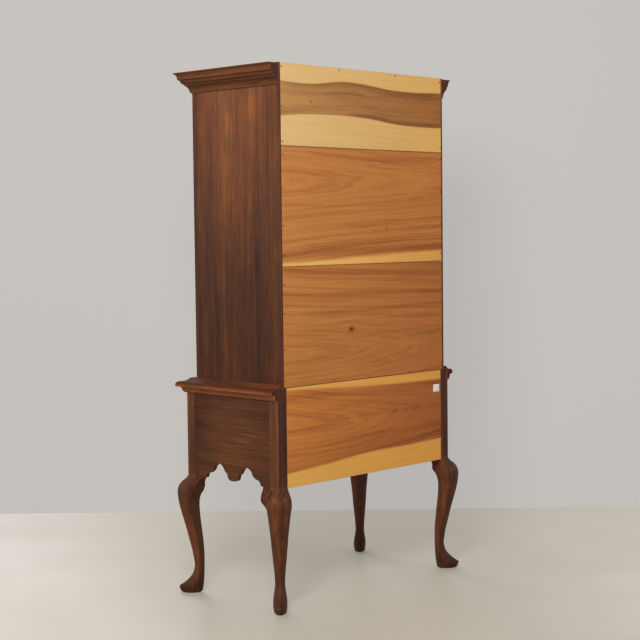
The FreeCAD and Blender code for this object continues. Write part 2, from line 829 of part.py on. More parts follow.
def make_upper_runners():
    """Side runners for every row, and the middle runner and guide of the top row."""
    pieces = []
    outer = (f"{UPPER_BAY} - runner_width", UPPER_BAY)
    for row in range(1, 6):
        level = (f"{opening_low(row)} - runner_thick", opening_low(row))
        start = f"{UPPER_FRONT} + rail_depth"
        if row == 5:
            level = (f"{BASE_TOP} + bottom_thick", opening_low(5))
            start = f"{UPPER_FRONT} + front_thick"
        run = (start, UPPER_BACK_FACE)
        pieces.append(board(f"upper_runner_right_{row}", outer, run, level))
        pieces.append(board(f"upper_runner_left_{row}", mirrored(outer), run, level))
    wide = ("-divider / 2 - runner_width", "divider / 2 + runner_width")
    run = (f"{UPPER_FRONT} + rail_depth", UPPER_BACK_FACE)
    level = (f"{opening_low(1)} - runner_thick", opening_low(1))
    pieces.append(board("upper_middle_runner", wide, run, level))
    run = (f"{UPPER_FRONT} + divider_depth", UPPER_BACK_FACE)
    level = (opening_low(1), f"{opening_low(1)} + guide_height")
    pieces.append(board("upper_middle_guide", ("-divider / 2", "divider / 2"), run, level))
    node("upper_drawer_runners", *pieces)


# Where the nails are, driven by eye. Those into the sides are shares of each board's height, from
# its lower edge, and those into the top and bottom boards are shares of the half width.
LEFT_NAILS = ((0.068, 0.318, 0.628, 0.925), (0.07, 0.352, 0.64, 0.94), (0.066, 0.447, 0.945))
RIGHT_NAILS = ((0.057, 0.315, 0.613, 0.851), (0.09, 0.338, 0.643, 0.93), (0.049, 0.472, 0.946))
TOP_NAILS = (-0.377, 0.313)
BOTTOM_NAILS = (-0.528, 0, 0.422)


def make_nails():
    """Iron nails driven through the back boards into the sides, the top and the bottom board."""
    head = Part.makeCylinder(
        size("nail_head_radius"), size("nail_head_thick"), Vector(0, 0, 0), Vector(0, 1, 0)
    )
    shank = Part.makeCone(
        size("nail_radius"), size("nail_radius") / 2, size("nail_length"),
        Vector(0, 0, 0), Vector(0, -1, 0),
    )
    nail = head.fuse(shank)
    inset = f"({UPPER_SIDE} - rabbet_lip / 2 - upper_side_thick / 2)"
    spots = []
    for x, rows in ((inset, RIGHT_NAILS), (f"-{inset}", LEFT_NAILS)):
        for (low, high), shares in zip(BACK_BOARD_EDGES, rows):
            spots += [(x, f"{low} + {share} * ({high} - {low})") for share in shares]
    spots += [(f"{share} * {UPPER_SIDE}", f"{TOP} - top_thick / 2") for share in TOP_NAILS]
    spots += [(f"{share} * {UPPER_SIDE}", f"{BASE_TOP} + bottom_thick / 2") for share in BOTTOM_NAILS]
    pieces = []
    for number, (x, z) in enumerate(spots, start=1):
        pieces.append(feature(f"nail_{number}", nail, x, REAR, z))
    node("back_board_nails", *pieces)


# ---------------------------------------------------------------------------------------------
# Drawers
# ---------------------------------------------------------------------------------------------

TAIL_MARGIN = 10


def dovetailed_side(height, length):
    """A drawer side seen from the right: its back end, and tails that reach into the front."""
    thick = size("box_thick")
    reach = size("tail_length")
    wide = size("tail_wide") / 2
    narrow = size("tail_narrow") / 2
    count = max(1, int((height - TAIL_MARGIN) // size("tail_pitch")))
    pitch = height / count
    points = [(length, 0), (0, 0)]
    for tail in range(count):
        middle = (tail + 0.5) * pitch
        points += [(0, middle - narrow), (-reach, middle - wide)]
        points += [(-reach, middle + wide), (0, middle + narrow)]
    points += [(0, height), (length, height), (length, 0)]
    ring = Part.makePolygon([Vector(0, y, z) for y, z in points])
    return Part.Face(ring).extrude(Vector(thick, 0, 0))


def rounded_front(name, x, y, z):
    """The lipped face of a drawer front, its four front edges worked to a thumbnail moulding."""
    blank = board(f"{name}_lip_blank", x, y, z)
    doc.recompute()
    low = min(v.Y for v in blank.Shape.Vertexes)
    front_edges = [
        number for number, edge in enumerate(blank.Shape.Edges, start=1)
        if all(abs(v.Y - low) < 1e-6 for v in edge.Vertexes)
    ]
    lip = doc.addObject("Part::Fillet", f"{name}_lip")
    lip.Base = blank
    radius = size("lip_round")
    lip.Edges = [(number, radius, radius) for number in front_edges]
    return lip


PLATE_START = (0, 23)
PLATE_HALF = [
    [(7, 28.5), (15, 27)],
    [(19.5, 23.5), (25, 25)],
    [(35, 30), (45, 25)],
    [(41.5, 13), (46, 3)],
    [(43, -9), (33, -12.5)],
    [(26.5, -13), (22, -19)],
    [(15, -24.5), (6, -24)],
    [(2, -27), (0, -31)],
]
ESCUTCHEON_SCALE = 0.72


def plate_outline(scale):
    """A bat-wing plate: one half and its mirror image, as a face looking forwards."""
    start = tuple(scale * value for value in PLATE_START)
    right = [[(scale * x, scale * z) for x, z in step] for step in PLATE_HALF]
    left = [[(-x, z) for x, z in step] for step in right]
    steps = right + backwards(start, left)
    return Part.Face(Part.Wire(outline(start, steps, lambda x, z: Vector(x, 0, z))))


def forward_cylinder(radius, front, back, x=0, z=0):
    """A round rod along Y between two depths."""
    return Part.makeCylinder(radius, back - front, Vector(x, front, z), Vector(0, 1, 0))


def keyhole(front, back):
    """The room for a key: a round hole and the slot under it."""
    radius = size("keyhole_radius")
    slot = size("keyhole_slot")
    drop = size("keyhole_drop")
    box = Part.makeBox(slot, back - front, drop, Vector(-slot / 2, front, -drop))
    return forward_cylinder(radius, front, back).fuse(box)


def lock_block(extra):
    """A half-mortised lock in the back of a front, a little longer backwards where wanted."""
    wide = size("lock_width")
    tall = size("lock_height")
    start = size("drawer_front_thick") - size("lock_thick")
    corner = Vector(-wide / 2, start, -tall / 2)
    return Part.makeBox(wide, size("lock_thick") + extra, tall, corner)


def pull_shapes():
    """Backplate, two knobbed bolts and two nuts; the drawer's face is at y = 0."""
    thick = size("plate_thick")
    rise = size("pivot_rise")
    bolt = size("bolt_radius")
    nut = size("nut_side")
    back = size("drawer_front_thick")
    plate = plate_outline(1.0).extrude(Vector(0, -thick, 0))
    shapes = []
    for side in (-1, 1):
        x = side * size("bore_spacing") / 2
        ball = Part.makeSphere(size("knob_radius"), Vector(x, -thick - size("pivot_standoff"), rise))
        stem_front = -thick - size("pivot_standoff")
        stem = forward_cylinder(size("stem_radius"), stem_front, -thick, x, rise)
        collar = Part.makeCone(
            size("knob_radius"), size("stem_radius"), size("collar_height"),
            Vector(x, -thick, rise), Vector(0, -1, 0),
        )
        end = back + size("nut_thick") + size("bolt_end")
        shank = forward_cylinder(bolt, -thick, end, x, rise)
        bore = Part.makeCylinder(
            size("bail_radius") + size("bail_clearance"), 4 * size("knob_radius"),
            Vector(x - 2 * size("knob_radius"), stem_front, rise), Vector(1, 0, 0),
        )
        shapes.append(ball.fuse([stem, collar, shank]).cut(bore))
        plate = plate.cut(shank)
        corner = Vector(x - nut / 2, back, rise - nut / 2)
        shapes.append(Part.makeBox(nut, size("nut_thick"), nut, corner).cut(shank))
    return [plate] + shapes


def bail_shape():
    """One bail, hanging: a rod bent from pin to pin round the two knobs. The pivots are at z = 0."""
    radius = size("bail_radius")
    spacing = size("bore_spacing") / 2
    inner = spacing - size("bail_pin")
    bend = spacing + size("knob_radius") + size("bail_arm_gap") - radius
    turn = 2 * radius
    arm = bend + turn
    drop = size("bail_drop")
    corner = size("bail_corner")
    slant = corner * (1 - math.sqrt(0.5))
    elbow = turn * (1 - math.sqrt(0.5))

    def half(sign):
        return [
            [(sign * bend, 0)],
            [(sign * (arm - elbow), -elbow), (sign * arm, -turn)],
            [(sign * arm, -drop + corner)],
            [(sign * (arm - slant), -drop + slant), (sign * (arm - corner), -drop)],
        ]

    start = (-inner, 0)
    left = half(-1)
    right = backwards((inner, 0), half(1))
    path = Part.Wire(outline(start, left + [[(arm - corner, -drop)]] + right,
                             lambda x, z: Vector(x, 0, z)))
    ring = Part.makeCircle(radius, Vector(-inner, 0, 0), Vector(-1, 0, 0))
    return path.makePipeShell([Part.Wire(ring)], True, True)


PULL = pull_shapes()
BAIL = bail_shape()


def drawer_front(name, x, z, face, pull_places, middle, locked, sides):
    """The front: a lip over the opening's edges, a body inside it, sockets, bolt holes and lock."""
    lip_x = (f"{x[0]} - lip_overlap", f"{x[1]} + lip_overlap")
    lip_z = (f"{z[0]} - lip_overlap", f"{z[1]} + lip_overlap")
    lip_y = (f"{face} - running_gap - lip_thick", f"{face} - running_gap")
    lip = rounded_front(name, lip_x, lip_y, lip_z)
    body = board(
        f"{name}_front_body",
        (f"{x[0]} + side_gap", f"{x[1]} - side_gap"),
        (f"{face} - running_gap", f"{face} - running_gap - lip_thick + drawer_front_thick"),
        (f"{z[0]} + running_gap", f"{z[1]} - top_gap"),
    )
    whole = doc.addObject("Part::Fuse", f"{name}_front_whole")
    whole.Base = lip
    whole.Tool = body
    bolt_hole = forward_cylinder(
        size("bolt_radius") + size("bolt_clearance"), -1, size("drawer_front_thick") + 1
    )
    tools = [sides]
    for number, place_x in enumerate(pull_places):
        for side, sign in (("left", "-"), ("right", "+")):
            tools.append(feature(
                f"{name}_bolt_hole_{number}_{side}", bolt_hole,
                f"{place_x} {sign} bore_spacing / 2", lip_y[0], f"{middle} + pivot_rise",
            ))
    if locked:
        lock_start = size("drawer_front_thick") - size("lock_thick")
        room = lock_block(1).fuse(keyhole(-1, lock_start + 1))
        centre_x = f"({x[0]} + {x[1]}) / 2"
        tools.append(feature(f"{name}_lock_room", room, centre_x, lip_y[0], middle))
    return cut(f"{name}_front", whole, group(f"{name}_front_tools", tools))


def drawer_box(name, x, z, face, rear):
    """Two dovetailed sides, the back between them and the bottom."""
    inner_face = f"{face} - running_gap - lip_thick + drawer_front_thick"
    base = f"{z[0]} + running_gap"
    top = f"{z[1]} - top_gap - box_drop"
    height = value(f"({top}) - ({base})")
    shape = dovetailed_side(height, value(f"({rear}) - ({inner_face})"))
    left_x = f"{x[0]} + side_gap"
    right_x = f"{x[1]} - side_gap - box_thick"
    left = feature(f"{name}_side_left", shape, left_x, inner_face, base)
    right = feature(f"{name}_side_right", shape, right_x, inner_face, base)
    inside = (f"{left_x} + box_thick", right_x)
    under = f"{base} + bottom_raise"
    over = f"{under} + drawer_bottom_thick"
    back = board(f"{name}_back", inside, (f"{rear} - box_thick", rear), (over, top))
    bottom = board(f"{name}_bottom", inside, (inner_face, rear), (under, over))
    return left, right, back, bottom


PULL_OFFSET = 0.3


def make_drawer(name, x, z, face, rear, pulls, locked):
    """A whole drawer: front, box, pulls and bails, each its own sub-part."""
    middle_x = f"(({x[0]} + {x[1]}) / 2)"
    middle_z = f"(({z[0]} + {z[1]}) / 2)"
    skin = f"{face} - running_gap - lip_thick"
    offset = f"{PULL_OFFSET} * ({x[1]} - {x[0]})"
    places = [middle_x] if pulls == 1 else [f"({middle_x} - {offset})", f"({middle_x} + {offset})"]
    left, right, back, bottom = drawer_box(name, x, z, face, rear)
    sides = group(f"{name}_sides", [left, right])
    node(f"{name}_front", drawer_front(name, x, z, face, places, middle_z, locked, sides))
    node(f"{name}_box", left, right, back, bottom)
    brass = []
    for number, place_x in enumerate(places):
        for index, shape in enumerate(PULL):
            brass.append(feature(f"{name}_pull_{number}_{index}", shape, place_x, skin, middle_z))
    if locked:
        plate = plate_outline(ESCUTCHEON_SCALE).extrude(Vector(0, -size("plate_thick"), 0))
        plate = plate.cut(keyhole(-size("plate_thick") - 1, 1))
        lock = lock_block(0).cut(keyhole(0, size("drawer_front_thick") - size("lock_thick") / 2))
        brass.append(feature(f"{name}_escutcheon", plate, middle_x, skin, middle_z))
        brass.append(feature(f"{name}_lock", lock, middle_x, skin, middle_z))
    node(f"{name}_plates", *brass)
    pivot_y = f"{skin} - plate_thick - pivot_standoff"
    pivot_z = f"{middle_z} + pivot_rise"
    bails = []
    for number, place_x in enumerate(places):
        bails.append(feature(f"{name}_bail_{number}", BAIL, place_x, pivot_y, pivot_z))
    node(f"{name}_bails", *bails)


def make_drawers():
    """Two short and four long drawers above, one long and three small ones in the base."""
    upper_rear = f"{UPPER_BACK_FACE} - rear_gap"
    left = (f"-{UPPER_BAY}", "-divider / 2")
    row_1 = (opening_low(1), opening_high(1))
    make_drawer("short_drawer_left", left, row_1, UPPER_FRONT, upper_rear, 2, True)
    make_drawer("short_drawer_right", mirrored(left), row_1, UPPER_FRONT, upper_rear, 2, True)
    full = (f"-{UPPER_BAY}", UPPER_BAY)
    for number, row in enumerate(range(2, 6), start=1):
        level = (opening_low(row), opening_high(row))
        make_drawer(f"long_drawer_{number}", full, level, UPPER_FRONT, upper_rear, 2, True)
    base_rear = f"{BASE_BACK_FACE} - rear_gap"
    full = (f"-{BASE_BAY}", BASE_BAY)
    level = (MIDDLE_RAIL_TOP, TOP_RAIL_LOW)
    make_drawer("base_long_drawer", full, level, BASE_FRONT, base_rear, 2, True)
    level = (APRON_TOP, MIDDLE_RAIL_LOW)
    for number, side in enumerate(("left", "middle", "right"), start=1):
        bay = small_bay(number)
        make_drawer(f"base_small_drawer_{side}", bay, level, BASE_FRONT, base_rear, 1, False)


# ---------------------------------------------------------------------------------------------
# Build, test and write
# ---------------------------------------------------------------------------------------------

def check_and_export():
    """Stops on any failed object or bad shape, then writes each sub-part's file."""
    doc.recompute()
    for item in doc.Objects:
        if "Invalid" in item.State or "Error" in item.State:
            raise RuntimeError(f"{item.Label} did not build: {item.State}")
    for name, item in nodes.items():
        if item.Shape.isNull() or not item.Shape.isValid():
            raise RuntimeError(f"{name} has a bad shape")
    for name, item in nodes.items():
        item.Shape.exportStep(f"parts/{name}.step")
    print(f"{len(nodes)} sub-parts written")


make_legs()
make_base_panels()
make_base_front_rails()
make_base_runners()
make_waist()
make_upper_sides()
make_upper_boards()
make_upper_rails()
make_upper_runners()
make_cornice()
make_nails()
make_drawers()
check_and_export()
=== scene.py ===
"""Looks of a highboy chest of drawers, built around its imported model."""

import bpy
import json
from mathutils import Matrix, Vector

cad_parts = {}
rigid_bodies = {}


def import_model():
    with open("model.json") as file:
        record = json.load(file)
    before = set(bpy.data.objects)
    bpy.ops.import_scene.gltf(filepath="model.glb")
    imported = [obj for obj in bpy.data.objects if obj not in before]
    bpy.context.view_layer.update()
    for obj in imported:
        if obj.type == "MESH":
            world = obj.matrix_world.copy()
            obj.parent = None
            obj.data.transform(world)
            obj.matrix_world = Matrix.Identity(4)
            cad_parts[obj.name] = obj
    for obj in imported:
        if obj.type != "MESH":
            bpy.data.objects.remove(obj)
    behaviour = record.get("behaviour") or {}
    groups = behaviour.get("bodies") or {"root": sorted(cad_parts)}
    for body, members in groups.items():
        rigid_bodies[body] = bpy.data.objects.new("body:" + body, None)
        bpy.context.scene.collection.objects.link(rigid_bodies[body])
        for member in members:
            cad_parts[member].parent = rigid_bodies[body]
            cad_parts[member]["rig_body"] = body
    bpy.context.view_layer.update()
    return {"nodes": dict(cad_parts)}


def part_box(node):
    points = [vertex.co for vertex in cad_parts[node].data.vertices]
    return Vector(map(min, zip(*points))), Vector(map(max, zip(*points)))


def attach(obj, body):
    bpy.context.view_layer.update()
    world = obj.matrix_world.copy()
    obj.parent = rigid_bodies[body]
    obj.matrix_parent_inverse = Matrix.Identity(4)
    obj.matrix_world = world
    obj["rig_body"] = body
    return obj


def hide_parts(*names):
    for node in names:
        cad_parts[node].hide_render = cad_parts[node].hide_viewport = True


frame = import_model()

import json
import math
import random

import bmesh
import bpy
from mathutils import Matrix, Vector

bl_info = {
    "name": "Highboy",
    "version": (1, 0, 0),
    "blender": (4, 5, 0),
    "location": "3D View > Sidebar > Highboy",
    "description": "Woods, hardware and stage of a highboy chest of drawers",
    "category": "Add Mesh",
}

MM = 0.001

# The camera: its place in metres, how it is turned in degrees, and its lens in millimetres.
CAMERA_PLACE = Vector((4.21717, 4.024505, 1.399227))
CAMERA_YAW, CAMERA_PITCH, CAMERA_ROLL = 226.316, 3.535, -0.643
CAMERA_LENS, CAMERA_SENSOR = 82.96, 36

# The middle of the highboy, at which the lamps shine.
LAMP_AIM = Vector((0, 0, 1))


# -------------------- Colours and node trees --------------------


def paint(red, green, blue):
    """A colour given in screen values from 0 to 255, as the linear values that shaders use."""
    linear = []
    for value in (red, green, blue):
        value /= 255
        linear.append(value / 12.92 if value <= 0.04045 else ((value + 0.055) / 1.055) ** 2.4)
    return tuple(linear)


def solid(colour, share=1.0):
    """A linear colour as four values, darkened or lightened by a share."""
    return (*(channel * share for channel in colour), 1.0)


def background_rays(tree):
    """1 for the rays that see the background: from the camera, and by gloss or through glass."""
    path = tree.nodes.new("ShaderNodeLightPath")
    seen = path.outputs["Is Camera Ray"]
    for kind in ("Is Glossy Ray", "Is Transmission Ray"):
        both = tree.nodes.new("ShaderNodeMath")
        both.operation = "MAXIMUM"
        tree.links.new(seen, both.inputs[0])
        tree.links.new(path.outputs[kind], both.inputs[1])
        seen = both.outputs[0]
    return seen


class Finish:
    """One material, whose nodes are added step by step."""

    def __init__(self, name, **shader):
        self.material = bpy.data.materials.new(name)
        self.material.use_nodes = True
        self.tree = self.material.node_tree
        self.shader = self.tree.nodes["Principled BSDF"]
        for socket, value in shader.items():
            self.shader.inputs[socket.replace("_", " ")].default_value = value

    def give(self, socket, value):
        """Links an output to a socket, or sets the socket's own value."""
        if isinstance(value, bpy.types.NodeSocket):
            self.tree.links.new(value, socket)
        else:
            socket.default_value = value

    def add(self, kind, inputs=None, **settings):
        """A new node of a kind, with its settings and inputs."""
        node = self.tree.nodes.new("ShaderNode" + kind)
        for key, value in settings.items():
            setattr(node, key, value)
        for socket, value in (inputs or {}).items():
            self.give(node.inputs[socket], value)
        return node

    def math(self, operation, *values, clamp=False):
        node = self.add("Math", dict(enumerate(values)), operation=operation, use_clamp=clamp)
        return node.outputs[0]

    def vector(self, operation, *values):
        node = self.add("VectorMath", operation=operation)
        for socket, value in zip(node.inputs, values):
            self.give(socket, value)
        number = operation in ("LENGTH", "DOT_PRODUCT")
        return node.outputs["Value" if number else "Vector"]

    def fade(self, value, start, end, low=0.0, high=1.0):
        """A smooth step from low at start to high at end."""
        node = self.add("MapRange", interpolation_type="SMOOTHSTEP")
        for socket, given in zip(node.inputs, (value, start, end, low, high)):
            self.give(socket, given)
        return node.outputs[0]

    def noise(self, place, stretch, detail=2.0, roughness=0.5, colour=False):
        """Noise on a place whose three directions are first multiplied by stretch."""
        node = self.add(
            "TexNoise",
            {"Vector": self.vector("MULTIPLY", place, stretch), "Scale": 1.0,
             "Detail": detail, "Roughness": roughness},
        )
        return node.outputs["Color" if colour else 0]

    def speckle(self, scale, detail=2.0, roughness=0.5):
        """Noise that is the same in all directions."""
        return self.noise(self.place(), (scale, scale, scale), detail, roughness)

    def mix(self, share, first, second, blend="MIX"):
        node = self.add("Mix", data_type="RGBA", blend_type=blend)
        self.give(node.inputs[0], share)
        self.give(node.inputs[6], first)
        self.give(node.inputs[7], second)
        return node.outputs[2]

    def times(self, colour, gain):
        """A colour multiplied by a gain: another colour, or one number for its three channels."""
        return self.mix(1.0, colour, gain, blend="MULTIPLY")

    def curve(self, value, points):
        """A smooth curve through points, whose positions and heights are from 0 to 1."""
        node = self.add("FloatCurve", {"Value": value})
        line = node.mapping.curves[0].points
        while len(line) < len(points):
            line.new(0.5, 0.5)
        for point, place in zip(line, sorted(points)):
            point.location = place
        node.mapping.update()
        return node.outputs[0]

    def split(self, vector):
        return self.add("SeparateXYZ", {0: vector}).outputs

    def join(self, x, y, z):
        return self.add("CombineXYZ", {0: x, 1: y, 2: z}).outputs[0]

    def place(self):
        """Where a point is on the highboy, in metres."""
        return self.add("TexCoord").outputs["Object"]

    def normal(self):
        """Where the surface faces, without its bumps."""
        return self.add("NewGeometry").outputs["Normal"]

    def turn(self, reach):
        """How sharply the surface turns within a reach: 0 where it is flat."""
        eased = self.add("Bevel", {"Radius": reach}, samples=4).outputs[0]
        return self.math("SUBTRACT", 1.0, self.vector("DOT_PRODUCT", eased, self.normal()))

    def sway(self, value, noise, width):
        """A value moved up and down by noise, over a width."""
        return self.math("ADD", value, self.math("MULTIPLY_ADD", noise, width, -width / 2))

    def wander(self, place, stretch, width):
        """A place moved across the grain by noise, over a width."""
        drift = self.vector("SUBTRACT", self.noise(place, stretch, colour=True), (0.5, 0.5, 0.5))
        return self.vector("ADD", place, self.vector("MULTIPLY", drift, (0, width, width)))

    def log_radius(self, place, slant):
        """How far a place is from the middle of its log, whose depth changes along the grain."""
        along, across, depth = self.split(place)
        depth = self.math("MULTIPLY_ADD", along, slant, depth)
        return self.vector("LENGTH", self.join(0.0, across, depth))

    def rings(self, radius, spacing, sharpness, noise=0.0):
        """Growth rings, each of which rises from 0 to 1 in its dark late wood."""
        years = self.math("MULTIPLY_ADD", radius, 1 / spacing, noise)
        return self.math("POWER", self.math("FRACT", years), sharpness)

    def bump(self, height, distance, strength=1.0):
        node = self.add("Bump", {"Height": height, "Distance": distance, "Strength": strength})
        self.give(self.shader.inputs["Normal"], node.outputs[0])

    def colour(self, value):
        self.give(self.shader.inputs["Base Color"], value)

    def roughness(self, value):
        self.give(self.shader.inputs["Roughness"], value)


# -------------------- Settings --------------------


def colour_setting(name, description, colour):
    return bpy.props.FloatVectorProperty(
        name=name, description=description, subtype="COLOR", size=3, min=0, max=1,
        default=paint(*colour),
    )


def length_setting(name, description, millimetres):
    return bpy.props.FloatProperty(
        name=name, description=description, unit="LENGTH", subtype="DISTANCE", min=0,
        default=millimetres * MM,
    )


class HIGHBOY_PG_wood(bpy.types.PropertyGroup):
    """Colours and edges of the woods."""

    cabinet_dark: colour_setting(
        "Cabinet wood, dark", "Darkest streaks of the stained cabinet wood", (50, 29, 19))
    cabinet_middle: colour_setting(
        "Cabinet wood", "Most of the stained cabinet wood", (86, 48, 27))
    cabinet_light: colour_setting(
        "Cabinet wood, light", "Palest streaks of the stained cabinet wood", (134, 83, 46))
    cabinet_worn: colour_setting(
        "Worn arris", "Edges of the cabinet wood, where the stain has rubbed thin", (134, 78, 52))
    box_wood: colour_setting("Box wood", "Drawer boxes and runners", (206, 170, 118))
    arris: length_setting("Arris", "How far the edges of the case pieces are rounded", 0.9)
    board_arris: length_setting("Back board arris", "How far the back boards' edges are eased", 0.6)


class HIGHBOY_PG_hardware(bpy.types.PropertyGroup):
    """Colours and edges of the metal."""

    brass: colour_setting("Brass", "Aged brass of the pulls", (190, 146, 78))
    brass_dark: colour_setting("Tarnish", "Tarnish in the brass's hollows", (98, 70, 38))
    iron: colour_setting("Iron", "Old nail heads", (84, 58, 44))
    rust: colour_setting("Rust", "Rust on the nail heads", (126, 78, 48))
    plate_edge: length_setting("Plate edge", "Bevel round the edges of the brass plates", 0.5)


class HIGHBOY_PG_stage(bpy.types.PropertyGroup):
    """Floor, backdrop and lamps."""

    floor: colour_setting("Floor", "Pale floor", (186, 179, 166))
    wall: colour_setting("Backdrop", "Pale backdrop", (200, 197, 194))
    wall_gap: length_setting("Backdrop distance", "How far the backdrop is behind the middle", 1450)
    wall_width: length_setting("Backdrop width", "Width of the backdrop", 18000)
    wall_height: length_setting("Backdrop height", "Height of the backdrop", 7000)
    floor_size: length_setting("Floor size", "Side of the square floor", 40000)
    key: bpy.props.FloatProperty(
        name="Key lamp", description="Power of the large lamp", unit="POWER", min=0, default=142)
    fill: bpy.props.FloatProperty(
        name="Fill lamps", description="Power of each soft lamp", unit="POWER", min=0, default=45)
    daylight: bpy.props.FloatProperty(
        name="Daylight", description="Strength of the even light from all round", min=0, max=2,
        default=0.36)


# -------------------- Meshes --------------------


def closed_shells(node):
    """The triangles of a CAD node, one list for each solid. A solid ends where its shell closes."""
    mesh = frame["nodes"][node].data
    shells, shell, open_edges = [], [], set()
    for face in mesh.polygons:
        corners = [tuple(round(value, 6) for value in mesh.vertices[i].co) for i in face.vertices]
        if len(set(corners)) < 3:
            continue
        shell.append(corners)
        for edge in zip(corners, corners[1:] + corners[:1]):
            if edge[::-1] in open_edges:
                open_edges.remove(edge[::-1])
            else:
                open_edges.add(edge)
        if not open_edges:
            shells.append(shell)
            shell = []
    if shell:
        raise RuntimeError(f"{node} has a shell that doesn't close")
    return shells


# Corners nearer than this are one, and faces that turn by less than this are one flat face.
MERGED = 0.002 * MM
FLAT = math.radians(0.5)

# Edges that turn by more than the first are eased, and by more than the second stay creases.
SHARP = math.radians(28)
CREASE = math.radians(32)

# Faces narrower than twice this, and turned a little to a neighbour, are the strips of a curve.
STRIP = 4 * MM
BARELY_TURNED = 0.002

# How far a piece's middle may lie from the middle of its log: along, across, and deep.
LOG_OFFSETS = ((-4, 4), (-0.06, 0.06), (0.04, 0.12))


def whole_solid(corners):
    """A bmesh of one solid: its loose triangles are merged and its flat faces made whole."""
    shape = bmesh.new()
    for triangle in corners:
        shape.faces.new([shape.verts.new(corner) for corner in triangle])
    bmesh.ops.remove_doubles(shape, verts=shape.verts, dist=MERGED)
    bmesh.ops.dissolve_limit(shape, angle_limit=FLAT, verts=shape.verts, edges=shape.edges)
    bmesh.ops.dissolve_degenerate(shape, dist=MERGED, edges=shape.edges)
    return shape


def ease_edges(shape, width):
    """Rounds the sharp edges, and returns the faces of the rounding."""
    edges = [edge for edge in shape.edges if edge.is_manifold and edge.calc_face_angle() > SHARP]
    if not edges or not width:
        return []
    made = bmesh.ops.bevel(
        shape, geom=edges, offset=width, offset_type="OFFSET", segments=2, profile=0.5,
        affect="EDGES", clamp_overlap=True, material=-1,
    )
    bmesh.ops.dissolve_degenerate(shape, dist=MERGED, edges=shape.edges)
    return [face for face in made["faces"] if face.is_valid]


def grain_frame(shape, name):
    """A function from a point to its place in the log: along the grain, across it, and deep."""
    corners = [vertex.co for vertex in shape.verts]
    low = Vector([min(co[i] for co in corners) for i in range(3)])
    high = Vector([max(co[i] for co in corners) for i in range(3)])
    order = sorted(range(3), key=lambda axis: high[axis] - low[axis], reverse=True)
    chance = random.Random(name)
    shift = Vector([chance.uniform(least, most) for least, most in LOG_OFFSETS])
    middle = (low + high) / 2
    return lambda co: Vector([co[axis] - middle[axis] for axis in order]) + shift


def smooth_faces(shape, rounded):
    """Smooth shading for roundings and for the narrow faces that a curve is made of."""
    rounded = set(rounded)
    for edge in shape.edges:
        edge.smooth = not edge.is_manifold or edge.calc_face_angle() < CREASE
    for face in shape.faces:
        turns = [
            edge.calc_face_angle() for edge in face.edges
            if edge.is_manifold and not rounded.intersection(edge.link_faces)
        ]
        thin = face.calc_area() < STRIP * face.calc_perimeter()
        bent = any(BARELY_TURNED < turn < CREASE for turn in turns)
        face.smooth = face in rounded or (thin and bent)


def show(name, mesh, finishes):
    """An object at the origin that shows a mesh in its finishes."""
    piece = bpy.data.objects.new(name, mesh)
    bpy.context.scene.collection.objects.link(piece)
    for finish in finishes:
        mesh.materials.append(finish)
    return piece


def show_shape(name, shape, finish):
    """An object that shows a bmesh in one finish."""
    mesh = bpy.data.meshes.new(name)
    shape.to_mesh(mesh)
    shape.free()
    return show(name, mesh, [finish])


def eased_copy(node, name, finishes, width, pick=None):
    """A copy of a CAD node with eased edges, in place of it. Each solid keeps its own grain.

    Where the node has more than one finish, pick chooses one by a solid's number and shape.
    """
    joined = bmesh.new()
    joined.verts.layers.float_vector.new("grain")
    mesh = bpy.data.meshes.new(name)
    for number, corners in enumerate(closed_shells(node)):
        shape = whole_solid(corners)
        place = grain_frame(shape, f"{node} {number} log")
        smooth_faces(shape, ease_edges(shape, width))
        layer = shape.verts.layers.float_vector.new("grain")
        for vertex in shape.verts:
            vertex[layer] = place(vertex.co)
        index = pick(number, shape) if pick else 0
        for face in shape.faces:
            face.material_index = index
        shape.to_mesh(mesh)
        shape.free()
        joined.from_mesh(mesh)
    joined.to_mesh(mesh)
    joined.free()
    piece = show(name, mesh, finishes)
    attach(piece, frame["nodes"][node]["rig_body"])
    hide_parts(node)
    return piece


def dress(node, finish):
    """Gives a CAD node's material slots one finish."""
    piece = frame["nodes"][node]
    if not piece.material_slots:
        piece.data.materials.append(finish)
    for slot in piece.material_slots:
        slot.material = finish


# -------------------- Woods --------------------


# Distance between the growth rings of each wood.
CABINET_RING = 5.2 * MM
BOARD_RING = 8.5 * MM
PLAIN_RING = 6 * MM

# How the stain changes the red, green and blue where it is thick, and where it is thin.
THICK_STAIN = (-0.16, -0.13, -0.04)
THIN_STAIN = (0.12, 0.05, 0)

# Heights between which a leg becomes its post, and the gains of the painted shading on both:
# painted light and shade by which way a face looks. A front here is a face that looks along y, and
# a side is one that looks along x.
POST_FOOT = (0.44, 0.52)
POST_FRONT_PAINTED_SHADING, POST_SIDE_PAINTED_SHADING = (1, 0.88, 0.94), (1, 0.95, 0.85)
LEG_FRONT_PAINTED_SHADING, LEG_SIDE_PAINTED_SHADING = (0.78, 0.76, 0.76), (1.2, 1.16, 1.1)

# All legs are paler below their knees and darker at their feet, and have fine streaks.
LEG_STAIN = dict(height_gain=(0.5, 0.32, (1.3, 1.26, 1.2)), darker_to_floor=0.16, shine=0.18, fine=1.5)


